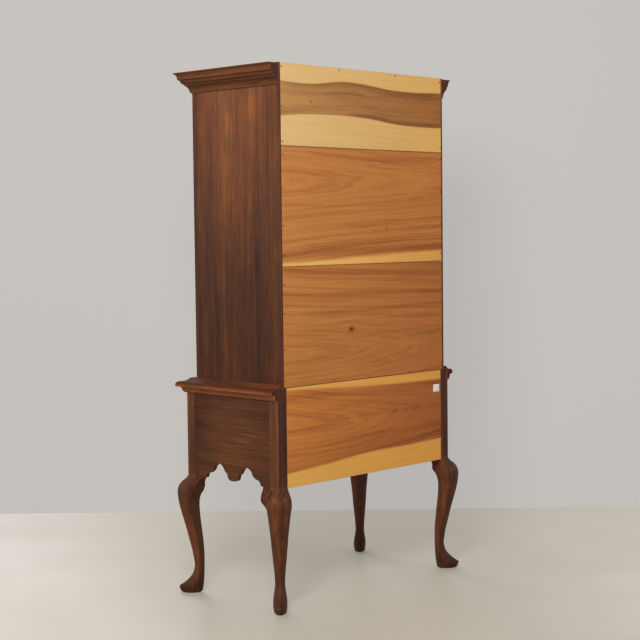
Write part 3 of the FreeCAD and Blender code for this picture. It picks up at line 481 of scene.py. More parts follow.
def stained_grain(finish, place, wood, tone, fine):
    """The colour of the stained wood's streaks, threads, rings and pores, with its own relief."""
    ring_noise = finish.noise(place, (0.5, 40, 40), detail=1)
    line = finish.rings(finish.log_radius(place, 0.02), CABINET_RING, 3.0, ring_noise)
    streak = finish.noise(place, (0.6, 26 * fine, 26 * fine), detail=4, roughness=0.6)
    thread = finish.noise(place, (3.2, 130, 130), detail=3, roughness=0.6)
    cloud = finish.noise(place, (1.1, 5, 5))
    pore = finish.fade(finish.noise(place, (18, 620, 620), detail=1), 0.58, 0.70)
    shade = finish.math("MULTIPLY", streak, 0.62)
    for part, weight in ((thread, 0.42), (cloud, 0.46), (line, -0.085)):
        shade = finish.math("MULTIPLY_ADD", part, weight, shade)
    light = finish.fade(shade, 0.70, 1.04, 0.0, 0.75 * fine)
    dark = finish.fade(shade, 0.74, 0.50)
    colour = finish.mix(light, solid(wood.cabinet_middle, tone), solid(wood.cabinet_light, tone))
    colour = finish.mix(dark, colour, solid(wood.cabinet_dark, tone))
    pore_share = finish.math("MULTIPLY", pore, 0.5)
    colour = finish.mix(pore_share, colour, solid(wood.cabinet_dark, 0.6 * tone))
    dust = finish.fade(finish.split(finish.normal())[2], 0.3, 0.8, 0.0, 0.3)
    finish.roughness(finish.math("ADD", finish.fade(streak, 0.2, 0.8, 0.44, 0.58), dust))
    relief = finish.math("MULTIPLY_ADD", pore, -1.0, finish.math("MULTIPLY", thread, 0.6))
    finish.bump(relief, 0.25 * MM, 0.6)
    return colour


def painted_facing_shading(finish, height, facing_x, side, front):
    """Painted shading on a leg and its post: a gain that differs between their sides and fronts."""
    sideways = finish.fade(finish.math("ABSOLUTE", facing_x), 0.3, 0.9)
    post_painted_shading = finish.mix(sideways, solid(POST_FRONT_PAINTED_SHADING, front), solid(POST_SIDE_PAINTED_SHADING, side))
    leg = finish.mix(sideways, solid(LEG_FRONT_PAINTED_SHADING), solid(LEG_SIDE_PAINTED_SHADING))
    return finish.mix(finish.fade(height, *POST_FOOT), leg, post_painted_shading)


def middle_paled_gain(finish, box):
    """A gain on a panel that is paler in the middle of its box and darker round its edges."""
    low, high = box
    middle = [(first + last) / 2 for first, last in zip(low, high)]
    off = finish.vector("SUBTRACT", finish.place(), middle)
    off = finish.vector("MULTIPLY", off, (0, 2 / (high[1] - low[1]), 2 / (high[2] - low[2])))
    return finish.fade(finish.vector("LENGTH", off), 1.05, 0.35, 0.80, 1.18)


def cabinet_wood(
    name, wood, tone=1.0, height_gain=None, darker_to_floor=0.0, painted_light_from_below=0.0, shine=0.14, fine=1.0, patchy=0.4,
    post_painted_shading=None, rubbed=None, ends=1.0,
):
    """Stained and worn cabinet wood. Its grain follows the pieces' own attribute.

    It can be paler or darker over a span of heights (height_gain), which on the upper sides is
    painted light from above, darken towards the floor (darker_to_floor), or take painted shade
    where it faces up and painted light where it faces down (painted_light_from_below). Small pieces
    have finer streaks (fine). The stain varies in patches (patchy). Painted shading makes a leg and
    its post paler or darker on their sides and on their front and back (post_painted_shading). A
    panel, whose box is given, is paler in its middle and darker round its edges (rubbed). The end
    grain of the mouldings, which faces the back, soaks up more stain (ends).
    """
    finish = Finish(name, Specular_IOR_Level=shine)
    place = finish.add("Attribute", attribute_name="grain").outputs["Vector"]
    place = finish.wander(place, (0.9, 5, 5), 0.05)
    colour = stained_grain(finish, place, wood, tone, fine)
    patch = finish.fade(finish.noise(place, (8, 24, 24), detail=3, roughness=0.6), 0.38, 0.62)
    thick = solid([1 + change * patchy for change in THICK_STAIN])
    thin = solid([1 + change * patchy for change in THIN_STAIN])
    colour = finish.times(colour, finish.mix(patch, thick, thin))
    height = finish.split(finish.place())[2]
    facing_x, facing_y, facing_z = finish.split(finish.normal())
    # Paler or darker over a span of heights; on the upper sides this is painted light from above.
    if height_gain:
        low, high, gain = height_gain
        paler_by_height = finish.mix(finish.fade(height, low, high), solid((1, 1, 1)), solid(gain))
        colour = finish.times(colour, paler_by_height)
    if darker_to_floor:
        colour = finish.times(colour, finish.fade(height, darker_to_floor, 0.0, 1.0, 0.55))
    # Painted light from below: darker where the surface faces up and paler where it faces down.
    if painted_light_from_below:
        colour = finish.times(colour, finish.fade(facing_z, -0.7, 0.6, 2 - painted_light_from_below, painted_light_from_below))
    # Painted shading: a leg and its post are paler or darker by which way a face looks, as light
    # falls on them.
    if post_painted_shading:
        colour = finish.times(colour, painted_facing_shading(finish, height, facing_x, *post_painted_shading))
    soaked = finish.fade(facing_y, 0.5, 0.9, 1.0, ends)
    colour = finish.times(colour, soaked)
    # Paler in the middle of a panel's box and darker round its edges.
    if rubbed:
        colour = finish.times(colour, middle_paled_gain(finish, rubbed))
    uneven = finish.fade(finish.noise(place, (6, 30, 30)), 0.25, 0.7, 0.25, 0.85)
    worn = finish.math("MULTIPLY", finish.fade(finish.turn(3.5 * MM), 0.012, 0.16), uneven)
    worn = finish.math("MULTIPLY", worn, soaked)
    finish.colour(finish.mix(worn, colour, solid(wood.cabinet_worn, tone)))
    return finish.material


# Figure of the four back boards. Places are millimetres on the back: x, then height. Each colour
# is given for the end at +x and for the end at -x; the change between them is partly the wood's
# own tint and partly painted light, which falls off towards -x.
#   heights      the board's lower and upper edge
#   low, high    two guides, which bound the heartwood or are lines that the grain follows
#   middle       the middle of the arches, from 0 at the low guide to 1 at the high one
#   rise         how deep the middle of the log is behind the face
#   reach        half the height that the arches take in
#   sap          whether there is sapwood below the low guide and above the high one
#   lines        strength of the growth rings and bands
#   mottle       strength of the mottling
#   edge_shade   strength of the painted shade along the lower and the upper edge
#   heart        the heartwood, with its dark parts (streak), and the sapwood (pale)
#   streaks      level between the guides at both ends, half the width, strength (below 0 for a
#                pale one), first and last x
#   knots        x, height, size and strength
BACK_BOARDS = {
    "top": dict(
        heights=(1700.4, 1998),
        low=((500, 1803), (300, 1819), (0, 1818), (-200, 1801), (-500, 1800)),
        high=((500, 1936), (310, 1930), (110, 1948), (-200, 1931), (-500, 1941)),
        middle=((500, 0.45), (-500, 0.55)), rise=((500, 22), (0, 40), (-500, 30)),
        reach=68, sap=(1, 1), lines=0.5, mottle=0.35, edge_shade=(0.4, 0.1),
        heart=((181, 134, 79), (166, 105, 51)), streak=((142, 97, 58), (124, 76, 42)),
        pale=((209, 175, 121), (227, 177, 98)),
        streaks=(
            (0.97, 0.88, 0.15, 0.75, 500, -500), (0.04, 0.04, 0.14, 0.85, 130, -520),
            (0.60, 0.78, 0.09, 0.25, 300, -500), (0.30, 0.42, 0.08, 0.25, 200, -400),
            (0.12, 0.10, 0.09, 0.30, 560, 250),
        ),
        knots=((298, 1864, 3.4, 0.75), (-246, 1901, 3.2, 0.75), (-283, 1862, 2.2, 0.45)),
    ),
    "middle": dict(
        heights=(1264.4, 1699.6),
        low=((500, 1277), (200, 1287), (-100, 1298), (-500, 1309)),
        high=((500, 1684), (200, 1673), (-100, 1667), (-500, 1678)),
        middle=((500, 0.72), (100, 0.755), (-500, 0.745)),
        rise=((500, 4), (300, 30), (120, 50), (-40, 64), (-260, 78), (-500, 100)),
        reach=210, sap=(1, 0), lines=1.0, mottle=0.15, edge_shade=(0.35, 0.5),
        heart=((190, 126, 66), (197, 123, 61)), streak=((152, 90, 44), (144, 82, 40)),
        pale=((226, 180, 102), (222, 162, 78)),
        streaks=(
            (1.0, 0.99, 0.045, 0.42, 350, -500), (0.12, 0.155, 0.06, 0.42, 400, -560),
            (0.06, 0.05, 0.05, 0.70, 560, -560), (0.35, 0.265, 0.03, 0.35, 200, -560),
            (0.52, 0.50, 0.02, 0.22, 560, -500),
        ),
        knots=((-118, 1396, 5.0, 0.45), (-45, 1390, 3.5, 0.3)),
    ),
    "bottom": dict(
        heights=(823, 1263.6),
        low=((500, 846), (0, 870), (-500, 900)),
        high=((500, 1246), (0, 1242), (-500, 1240)),
        middle=((500, 0.25), (100, 0.19), (-500, 0.13)),
        rise=((500, 10), (250, 36), (0, 58), (-180, 82), (-350, 100), (-500, 112)),
        reach=250, sap=(0, 0), lines=1.0, mottle=0.2, edge_shade=(0.9, 0.35),
        heart=((190, 126, 66), (182, 111, 56)), streak=((152, 89, 42), (138, 78, 38)),
        pale=((222, 178, 100), (211, 160, 80)),
        streaks=(
            (1.01, 0.94, 0.05, 0.60, 560, -560), (0.60, 0.575, 0.03, 0.38, 560, -560),
            (0.80, 0.715, 0.03, 0.42, 560, -560), (0.50, 0.515, 0.015, -0.3, 560, -560),
            (0.33, 0.32, 0.02, 0.25, 400, -500), (0.20, 0.26, 0.03, 0.3, -200, -560),
        ),
        knots=((90, 1018, 9.5, 1.0),),
    ),
    "base": dict(
        heights=(454, 823),
        low=((500, 504), (220, 522), (0, 537), (-280, 540), (-500, 547)),
        high=((500, 814), (350, 809), (0, 792), (-500, 784)),
        middle=((500, 0.63), (50, 0.52), (-500, 0.55)),
        rise=((500, 8), (300, 34), (150, 50), (40, 66), (-150, 90), (-500, 130)),
        reach=170, sap=(1, 1), lines=1.0, mottle=0.2, edge_shade=(0.15, 0.6),
        heart=((207, 130, 62), (170, 96, 48)), streak=((148, 83, 38), (128, 69, 33)),
        pale=((220, 166, 86), (226, 159, 71)),
        streaks=(
            (0.05, 0.05, 0.15, 0.45, 560, -560), (0.22, 0.24, 0.08, 0.3, 300, -560),
            (0.92, 0.90, 0.06, 0.25, 560, -560), (0.60, 0.56, 0.05, 0.28, 100, -560),
        ),
        knots=((60, 688, 3.0, 0.4),),
    ),
}


# The face of the boards, and the deepest that the middle of a log may be behind it.
BACK_FACE = 248 * MM
DEEPEST = 200

# How long a streak takes to fade in and out.
STREAK_END = 120

# Levels at which the heartwood gives way to the sapwood below it and above it.
SAP_BELOW, SAP_ABOVE = (0.016, -0.028), (0.98, 1.028)

# Painted shade along the boards' edges, in the joints and under the mouldings; then the knots' halo
# and core.
EDGE_SHADE = paint(70, 40, 24)
KNOT_HALO = paint(140, 74, 36)
KNOT_CORE = paint(74, 32, 18)


class BoardWood(Finish):
    """Pale wood of a wide back board, with heartwood, sapwood, arches, streaks and knots."""

    def __init__(self, name, board):
        super().__init__(name, Specular_IOR_Level=0.14)
        self.board = board
        self.at = self.place()
        self.x, self.y, self.z = self.split(self.at)
        # From 0 at x = 500 mm to 1 at x = -500 mm.
        self.share = self.math("MULTIPLY_ADD", self.x, -1.0, 0.5)
        self.level = self.between_guides()
        self.radius = self.from_pith()
        years = self.math("MULTIPLY", self.ring_noise(0.7, 60, detail=1), 1.6)
        line = self.rings(self.radius, BOARD_RING, 2.5, years)
        self.line = self.math("MULTIPLY", line, board["lines"])
        self.band = self.ring_noise(0.35, 34, detail=4, roughness=0.65)
        self.fibre = self.noise(self.at, (3.0, 260, 260), detail=3, roughness=0.65)
        colour = self.sapwood(self.heartwood())
        self.colour(self.knots(self.edge_shade(self.tinted(colour))))
        self.roughness(self.fade(self.fibre, 0.2, 0.8, 0.50, 0.62))
        self.bump(self.math("MULTIPLY_ADD", self.line, -0.5, self.fibre), 0.2 * MM, 0.5)

    def along(self, points, lowest, highest):
        """A curve along the board, which is 0 at the lowest value and 1 at the highest."""
        line = [(0.5 - x * MM, (value - lowest) / (highest - lowest)) for x, value in points]
        return self.curve(self.share, line)

    def from_knot(self, x, height, widths):
        """How far a place is from a knot that is wider along the grain than across it."""
        off = self.vector("SUBTRACT", self.at, (x * MM, 0, height * MM))
        return self.vector("LENGTH", self.vector("MULTIPLY", off, (widths, 0, 1)))

    def past_knots(self):
        """The height of a place, drawn towards the knots near it, so that the grain bends."""
        z = self.z
        for x, height, size, force in self.board["knots"]:
            near = self.fade(self.from_knot(x, height, 0.45), size * 7 * MM, 0.0)
            pull = self.math("MULTIPLY", near, -0.75 * min(1.0, force + 0.2))
            z = self.math("MULTIPLY_ADD", self.math("SUBTRACT", z, height * MM), pull, z)
        return z

    def between_guides(self):
        """How high a place is between the guides, from 0 to 1, with the grain's own waves."""
        edges = self.board["heights"]
        tall = (edges[1] - edges[0]) * MM
        level = self.math("MULTIPLY_ADD", self.past_knots(), 1 / tall, -edges[0] * MM / tall)
        low, high = (self.along(self.board[guide], *edges) for guide in ("low", "high"))
        between = self.math("SUBTRACT", high, low)
        level = self.math("DIVIDE", self.math("SUBTRACT", level, low), between)
        level = self.sway(level, self.noise(self.at, (1.6, 3, 11)), 0.020)
        return self.sway(level, self.noise(self.at, (7, 8, 38)), 0.012)

    def from_pith(self):
        """How far a place is from the middle of the log, with the jags of the arches."""
        off = self.math("SUBTRACT", self.level, self.along(self.board["middle"], 0, 1))
        off = self.math("MULTIPLY", off, self.board["reach"] * MM * 2)
        rise = self.along(self.board["rise"], 0, DEEPEST)
        behind = self.math("SUBTRACT", BACK_FACE, self.y)
        depth = self.math("MULTIPLY_ADD", rise, DEEPEST * MM, behind)
        jag = self.noise(self.at, (4.5, 90, 90), detail=3, roughness=0.6)
        return self.vector("LENGTH", self.join(0.0, off, self.sway(depth, jag, 0.034)))

    def ring_noise(self, along, across, detail=2.0, roughness=0.5):
        """Noise that follows the growth rings."""
        place = self.join(self.x, self.radius, self.y)
        return self.noise(place, (along, across, 0), detail, roughness)

    def tone(self, part):
        """One of the board's colours, which changes from end to end: partly its own tint and partly
        painted light, which falls off towards -x.
        """
        first, last = (solid(paint(*colour)) for colour in self.board[part])
        return self.mix(self.share, first, last)

    def streak(self, first, last, half, strength, start, end, hair):
        """How much a streak darkens a place. It is made of hairs, and fades in and out."""
        centre = self.math("MULTIPLY_ADD", self.share, last - first, first)
        off = self.math("ABSOLUTE", self.math("SUBTRACT", self.level, centre))
        streak = self.fade(off, half, half * 0.3, 0.0, strength)
        fade_in = self.fade(self.x, start * MM, (start - STREAK_END) * MM)
        fade_out = self.fade(self.x, end * MM, (end + STREAK_END) * MM)
        for share in (fade_in, fade_out, self.fade(hair, 0.36, 0.64, 0.55, 1.05)):
            streak = self.math("MULTIPLY", streak, share)
        return streak

    def heartwood(self):
        """The heartwood: bands, hairs, ring lines, mottling and streaks, and a few pale gleams."""
        lines = self.board["lines"]
        hair = self.ring_noise(0.8, 170, roughness=0.6)
        mottle = self.noise(self.at, (2.4, 3, 19), detail=4, roughness=0.6)
        shade = self.fade(self.band, 0.42, 0.80, 0.0, 0.30 + 0.42 * lines)
        shade = self.math("ADD", shade, self.fade(hair, 0.40, 0.72, 0.0, 0.34))
        shade = self.math("MULTIPLY_ADD", self.line, 0.13, shade)
        shade = self.math("ADD", shade, self.fade(mottle, 0.48, 0.72, 0.0, self.board["mottle"]))
        for streak in self.board["streaks"]:
            shade = self.math("ADD", shade, self.streak(*streak, hair))
        shade = self.math("MULTIPLY", shade, 1.0, clamp=True)
        heart = self.tone("heart")
        colour = self.mix(shade, heart, self.tone("streak"))
        gleam = self.ring_noise(1.1, 75, detail=3, roughness=0.6)
        glow = self.fade(gleam, 0.52, 0.78, 0.0, 0.10 + 0.40 * lines)
        return self.mix(glow, colour, self.mix(0.4, heart, self.tone("pale")))

    def sapwood(self, colour):
        """The sapwood beyond the guides, where the board has it, over the heartwood's colour."""
        sides = [
            self.fade(self.level, *levels)
            for levels, present in zip((SAP_BELOW, SAP_ABOVE), self.board["sap"]) if present
        ]
        if not sides:
            return colour
        sap = self.math("ADD", *sides) if len(sides) > 1 else sides[0]
        pale = self.tone("pale")
        lined = self.fade(self.band, 0.42, 0.75, 0.0, 0.30)
        lined = self.math("MULTIPLY_ADD", self.line, 0.10, lined)
        lined = self.mix(lined, pale, self.mix(0.45, pale, self.tone("heart")))
        return self.mix(sap, colour, lined)

    def tinted(self, colour):
        """A colour with the fibres, flecks and blotches of the wood."""
        tint = self.math("MULTIPLY_ADD", self.fibre, 0.16, 0.79)
        tint = self.math("MULTIPLY_ADD", self.noise(self.at, (2.2, 20, 130)), 0.17, tint)
        blotch = self.math("MULTIPLY_ADD", self.noise(self.at, (2.0, 2.0, 7)), 0.14, 0.93)
        return self.times(colour, self.math("MULTIPLY", tint, blotch))

    def edge_shade(self, colour):
        """A colour with painted shade along the board's two edges, where shade falls in the joints
        and under the mouldings.
        """
        for edge, strength in zip(self.board["heights"], self.board["edge_shade"]):
            off = self.math("ABSOLUTE", self.math("SUBTRACT", self.z, edge * MM))
            dirt = self.fade(off, 3.4 * MM, 0.6 * MM, 0.0, strength)
            colour = self.mix(dirt, colour, solid(EDGE_SHADE))
        return colour

    def knots(self, colour):
        """A colour with the knots on it: a brown halo round a dark core."""
        for x, height, size, force in self.board["knots"]:
            off, size = self.from_knot(x, height, 0.8), size * MM
            halo = self.math("MULTIPLY", self.fade(off, size * 2.6, size * 0.9), 0.55 * force)
            colour = self.mix(halo, colour, solid(KNOT_HALO))
            core = self.math("MULTIPLY", self.fade(off, size, size * 0.4), 0.95 * force)
            colour = self.mix(core, colour, solid(KNOT_CORE))
        return colour


# Where the middle of the plain wood's log is, from the highboy's own origin.
PLAIN_LOG = (-0.3, -0.2, 0.1)


def plain_wood(name, pale, tone=1.0):
    """Plain pale wood inside the case. The grain of faces that look along x runs along y."""
    finish = Finish(name, Specular_IOR_Level=0.3)
    facing_x = finish.split(finish.normal())[0]
    sideways = finish.math("GREATER_THAN", finish.math("ABSOLUTE", facing_x), 0.5)
    x, y, z = finish.split(finish.vector("SUBTRACT", finish.place(), PLAIN_LOG))
    place = finish.mix(sideways, finish.join(x, y, z), finish.join(y, x, z))
    place = finish.wander(place, (1.5, 9, 9), 0.03)
    line = finish.rings(finish.log_radius(place, 0.04), PLAIN_RING, 3.0)
    fibre = finish.noise(place, (4, 260, 260), detail=3, roughness=0.6)
    cloud = finish.fade(finish.noise(place, (0.8, 18, 18), detail=3), 0.35, 0.75, 0.0, 0.6)
    shade = finish.math("ADD", finish.math("MULTIPLY", line, 0.3), cloud)
    colour = finish.mix(shade, solid(pale, tone), solid(pale, 0.66 * tone))
    finish.colour(finish.times(colour, finish.math("MULTIPLY_ADD", fibre, 0.2, 0.9)))
    finish.roughness(finish.fade(fibre, 0.2, 0.8, 0.55, 0.7))
    finish.bump(fibre, 0.2 * MM, 0.5)
    return finish.material


# -------------------- Metals and paper --------------------


def brass_metal(name, hardware):
    """Aged brass: rubbed bright on its edges and dull in its hollows."""
    finish = Finish(name, Metallic=1.0)
    tarnish = finish.speckle(90, detail=4, roughness=0.6)
    cloud = finish.math("MULTIPLY", finish.speckle(22), 0.6)
    dull = finish.fade(finish.math("ADD", tarnish, cloud), 0.62, 1.0)
    dull_share = finish.math("MULTIPLY", dull, 0.75)
    colour = finish.mix(dull_share, solid(hardware.brass), solid(hardware.brass_dark))
    bright = finish.fade(finish.turn(1.2 * MM), 0.02, 0.2)
    finish.colour(finish.mix(bright, colour, solid(hardware.brass, 1.15)))
    finish.roughness(finish.math("MULTIPLY_ADD", dull, 0.24, 0.24))
    finish.bump(tarnish, 0.1 * MM, 0.4)
    return finish.material


def iron_metal(name, hardware):
    """Old iron: dark, hammered and lightly rusted."""
    finish = Finish(name, Metallic=0.7)
    rust = finish.speckle(400, detail=3)
    rusted = finish.fade(rust, 0.4, 0.7)
    finish.colour(finish.mix(rusted, solid(hardware.iron), solid(hardware.rust)))
    finish.roughness(finish.fade(rust, 0.3, 0.7, 0.45, 0.85))
    finish.bump(rust, 0.3 * MM, 0.8)
    return finish.material


def paper(name):
    """Blank white paper, a little soft and creased."""
    finish = Finish(name, Roughness=0.8, Specular_IOR_Level=0.2)
    fibre = finish.speckle(700, detail=3)
    crease = finish.speckle(60)
    finish.colour(finish.mix(fibre, solid(paint(214, 212, 208)), solid(paint(236, 234, 230))))
    finish.bump(finish.math("ADD", crease, finish.math("MULTIPLY", fibre, 0.3)), 0.4 * MM, 0.6)
    return finish.material


# -------------------- Operators --------------------


class HIGHBOY_OT_stage(bpy.types.Operator):
    """Makes the camera, the floor, the backdrop and the lamps"""

    bl_idname = "highboy.stage"
    bl_label = "Stage"

    def execute(self, context):
        scene = context.scene
        stage = scene.highboy_stage
        scene.view_settings.view_transform = "Standard"
        self.add_camera(scene)
        self.add_floor(stage)
        self.add_wall(stage)
        self.add_lamps(scene, stage)
        self.add_daylight(scene, stage)
        return {"FINISHED"}

    def add_camera(self, scene):
        yaw, pitch, roll = map(math.radians, (CAMERA_YAW, CAMERA_PITCH, CAMERA_ROLL))
        level = Vector((math.sin(yaw), math.cos(yaw), 0))
        ahead = level * math.cos(pitch) - Vector((0, 0, math.sin(pitch)))
        right = Vector((math.cos(yaw), -math.sin(yaw), 0))
        up = right.cross(ahead)
        rolled_right = math.cos(roll) * right + math.sin(roll) * up
        rolled_up = -math.sin(roll) * right + math.cos(roll) * up
        turn = Matrix((rolled_right, rolled_up, -ahead)).transposed()
        lens = bpy.data.cameras.new("camera")
        lens.lens = CAMERA_LENS
        lens.sensor_width = CAMERA_SENSOR
        camera = bpy.data.objects.new("camera", lens)
        camera.matrix_world = Matrix.Translation(CAMERA_PLACE) @ turn.to_4x4()
        scene.collection.objects.link(camera)
        scene.camera = camera

    def add_flat(self, name, corners, finish):
        """A single face of the stage, which faces up or towards the camera."""
        shape = bmesh.new()
        shape.faces.new([shape.verts.new(corner) for corner in corners])
        piece = show_shape(name, shape, finish)
        return piece

    def glow(self, finish, colour, strength):
        """Light of its own that only the background rays see, so that a far surface stays pale."""
        seen = finish.math("MULTIPLY", background_rays(finish.tree), strength)
        finish.give(finish.shader.inputs["Emission Color"], colour)
        finish.give(finish.shader.inputs["Emission Strength"], seen)
        finish.material.cycles.emission_sampling = "NONE"

    def add_floor(self, stage):
        finish = Finish("pale_floor", Specular_IOR_Level=0.3)
        mottle = finish.speckle(1.2, detail=5, roughness=0.6)
        finish.colour(finish.mix(mottle, solid(stage.floor, 0.59), solid(stage.floor, 0.63)))
        finish.roughness(finish.fade(mottle, 0.3, 0.7, 0.42, 0.55))
        distance = finish.vector("LENGTH", finish.place())
        self.glow(finish, solid(stage.floor), finish.fade(distance, 2.6, 8.0, 0.27, 0.68))
        half = stage.floor_size / 2
        corners = [(-half, -half, 0), (half, -half, 0), (half, half, 0), (-half, half, 0)]
        self.add_flat("floor", corners, finish.material)

    def add_wall(self, stage):
        """The backdrop. It is clear from behind, so that it never hides the highboy."""
        finish = Finish("pale_wall", Roughness=0.9, Specular_IOR_Level=0.0)
        mottle = finish.speckle(0.8)
        finish.colour(finish.mix(mottle, solid(stage.wall, 0.29), solid(stage.wall, 0.31)))
        self.glow(finish, solid(stage.wall), 0.72)
        behind = finish.add("NewGeometry").outputs["Backfacing"]
        clear = finish.add("BsdfTransparent").outputs[0]
        seen = finish.add("MixShader", {0: behind, 1: finish.shader.outputs[0], 2: clear})
        output = finish.tree.nodes["Material Output"]
        finish.give(output.inputs["Surface"], seen.outputs[0])
        toward = Vector((CAMERA_PLACE.x, CAMERA_PLACE.y, 0)).normalized()
        foot = -toward * stage.wall_gap
        side = Vector((-toward.y, toward.x, 0)) * stage.wall_width / 2
        lift = Vector((0, 0, stage.wall_height))
        corners = [foot - side, foot + side, foot + side + lift, foot - side + lift]
        wall = self.add_flat("backdrop", corners, finish.material)
        wall.visible_shadow = wall.visible_diffuse = False
        wall.visible_transmission = wall.visible_glossy = False

    def add_lamp(self, scene, name, place, power, size, colour=(1, 1, 1)):
        """A round soft lamp that shines on the middle of the highboy."""
        light = bpy.data.lights.new(name, "AREA")
        light.shape = "DISK"
        light.energy = power
        light.size = size
        light.color = colour
        lamp = bpy.data.objects.new(name, light)
        place = Vector(place)
        turn = (LAMP_AIM - place).to_track_quat("-Z", "Y").to_matrix()
        lamp.matrix_world = Matrix.Translation(place) @ turn.to_4x4()
        lamp.visible_camera = False
        scene.collection.objects.link(lamp)

    def add_lamps(self, scene, stage):
        self.add_lamp(scene, "key", (2.9, 2.0, 2.9), stage.key, 1.5, (1, 0.97, 0.93))
        self.add_lamp(scene, "side", (4.2, -3.2, 1.9), stage.fill * 0.65, 1.6)
        self.add_lamp(scene, "fill_back", (-2.5, 5.0, 2.6), stage.fill, 3.0)
        self.add_lamp(scene, "fill_front", (-1.5, -5.0, 3.0), stage.key, 3.0)
        self.add_lamp(scene, "fill_left", (-5.0, -1.0, 2.4), stage.fill, 3.0)

    def add_daylight(self, scene, stage):
        """Even light on the highboy, and a plain pale background for the background rays."""
        world = bpy.data.worlds.new("daylight")
        scene.world = world
        world.use_nodes = True
        nodes, links = world.node_tree.nodes, world.node_tree.links
        lit = nodes["Background"]
        lit.inputs["Color"].default_value = (1, 1, 1, 1)
        lit.inputs["Strength"].default_value = stage.daylight
        seen = nodes.new("ShaderNodeBackground")
        seen.inputs["Color"].default_value = solid(stage.wall)
        choose = nodes.new("ShaderNodeMixShader")
        links.new(background_rays(world.node_tree), choose.inputs[0])
        links.new(lit.outputs[0], choose.inputs[1])
        links.new(seen.outputs[0], choose.inputs[2])
        links.new(choose.outputs[0], nodes["World Output"].inputs["Surface"])


class HIGHBOY_OT_back_boards(bpy.types.Operator):
    """Makes the wide pale boards of the back"""

    bl_idname = "highboy.back_boards"
    bl_label = "Back boards"

    def execute(self, context):
        wood = context.scene.highboy_wood
        upper = [
            BoardWood(f"back_board_{part}", BACK_BOARDS[part]).material
            for part in ("bottom", "middle", "top")
        ]
        eased_copy(
            "upper_back_boards", "upper_back", upper, wood.board_arris,
            pick=lambda number, shape: number,
        )
        base = BoardWood("back_board_base", BACK_BOARDS["base"]).material
        eased_copy("base_back_board", "base_back", [base], wood.board_arris)
        return {"FINISHED"}


class HIGHBOY_OT_case(bpy.types.Operator):
    """Makes the stained outside of the case: sides, legs, mouldings, apron and rails"""

    bl_idname = "highboy.case"
    bl_label = "Case"

    def execute(self, context):
        wood = context.scene.highboy_wood
        stained = cabinet_wood("cabinet_wood", wood)
        # The upper sides are paler towards the top: painted light from above.
        paler_by_height = cabinet_wood(
            "upper_side_wood", wood, 0.66, height_gain=(0.95, 2.0, (2.25, 2.3, 2.2)), patchy=1.0)
        panels = {
            node: cabinet_wood(f"{node}_wood", wood, 0.94, patchy=0.7, rubbed=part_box(node))
            for node in ("base_side_left", "base_side_right")
        }
        # The waist moulding is much paler than the rest of the case, a painted sheen on its lip,
        # with painted light from below on its faces that look down and painted shade on those that
        # look up.
        waist = cabinet_wood("waist_wood", wood, 2.6, painted_light_from_below=0.33, shine=0.06, ends=0.30)
        cornice = cabinet_wood("cornice_wood", wood, ends=0.6)
        # Painted shading on the legs by which way their faces look; the front legs are also darker
        # than the rear ones, as painted shade.
        front_legs = cabinet_wood("front_leg_wood", wood, 0.72, post_painted_shading=(1.15, 1.4), **LEG_STAIN)
        rear_legs = cabinet_wood("rear_leg_wood", wood, 0.84, post_painted_shading=(1.42, 0.66), **LEG_STAIN)
        finishes = {
            "upper_side_left": paler_by_height, "upper_side_right": paler_by_height, **panels,
            "front_apron": stained, "base_front_rails": stained, "upper_drawer_blades": stained,
            "waist_molding": waist, "cornice": cornice,
            "leg_front_left": front_legs, "leg_front_right": front_legs,
            "leg_rear_left": rear_legs, "leg_rear_right": rear_legs,
        }
        for node, finish in finishes.items():
            width = 0 if node.startswith("leg") else wood.arris
            eased_copy(node, f"{node}_worn", [finish], width)
        # The knee blocks that are not at the back are darker than the legs: painted shade on their
        # inner faces, which the light hardly reaches.
        knees = cabinet_wood("knee_wood", wood, 0.62)
        eased_copy(
            "knee_blocks", "knee_blocks_worn", [knees, rear_legs], 0,
            pick=lambda number, shape: int(min(vertex.co.y for vertex in shape.verts) > 0),
        )
        return {"FINISHED"}


class HIGHBOY_OT_inside(bpy.types.Operator):
    """Gives the boards and runners inside the case their wood"""

    bl_idname = "highboy.inside"
    bl_label = "Inside"

    def execute(self, context):
        wood = context.scene.highboy_wood
        dress("upper_top_and_bottom", plain_wood("inside_boards", wood.box_wood, 0.9))
        runners = plain_wood("runner_wood", wood.box_wood, 0.85)
        for node in ("base_drawer_runners", "upper_drawer_runners"):
            dress(node, runners)
        return {"FINISHED"}


class HIGHBOY_OT_drawers(bpy.types.Operator):
    """Makes the drawer fronts and gives the boxes their wood"""

    bl_idname = "highboy.drawers"
    bl_label = "Drawers"

    def execute(self, context):
        wood = context.scene.highboy_wood
        stained = cabinet_wood("front_wood", wood, tone=1.1)
        boxes = plain_wood("drawer_box_wood", wood.box_wood)
        for node in sorted(frame["nodes"]):
            if node.endswith("_front") and "drawer" in node:
                eased_copy(node, f"{node}_worn", [stained], wood.arris)
            elif node.endswith("_box"):
                dress(node, boxes)
        return {"FINISHED"}


class HIGHBOY_OT_hardware(bpy.types.Operator):
    """Makes the brass plates and bails"""

    bl_idname = "highboy.hardware"
    bl_label = "Hardware"

    def execute(self, context):
        hardware = context.scene.highboy_hardware
        brass = brass_metal("aged_brass", hardware)
        for node in sorted(frame["nodes"]):
            if node.endswith("_plates"):
                eased_copy(node, f"{node}_filed", [brass], hardware.plate_edge)
            elif node.endswith("_bails"):
                eased_copy(node, f"{node}_cast", [brass], 0)
        return {"FINISHED"}


class HIGHBOY_OT_nails(bpy.types.Operator):
    """Makes the nail heads in the back"""

    bl_idname = "highboy.nails"
    bl_label = "Nails"

    def execute(self, context):
        dress("back_board_nails", iron_metal("old_iron", context.scene.highboy_hardware))
        return {"FINISHED"}


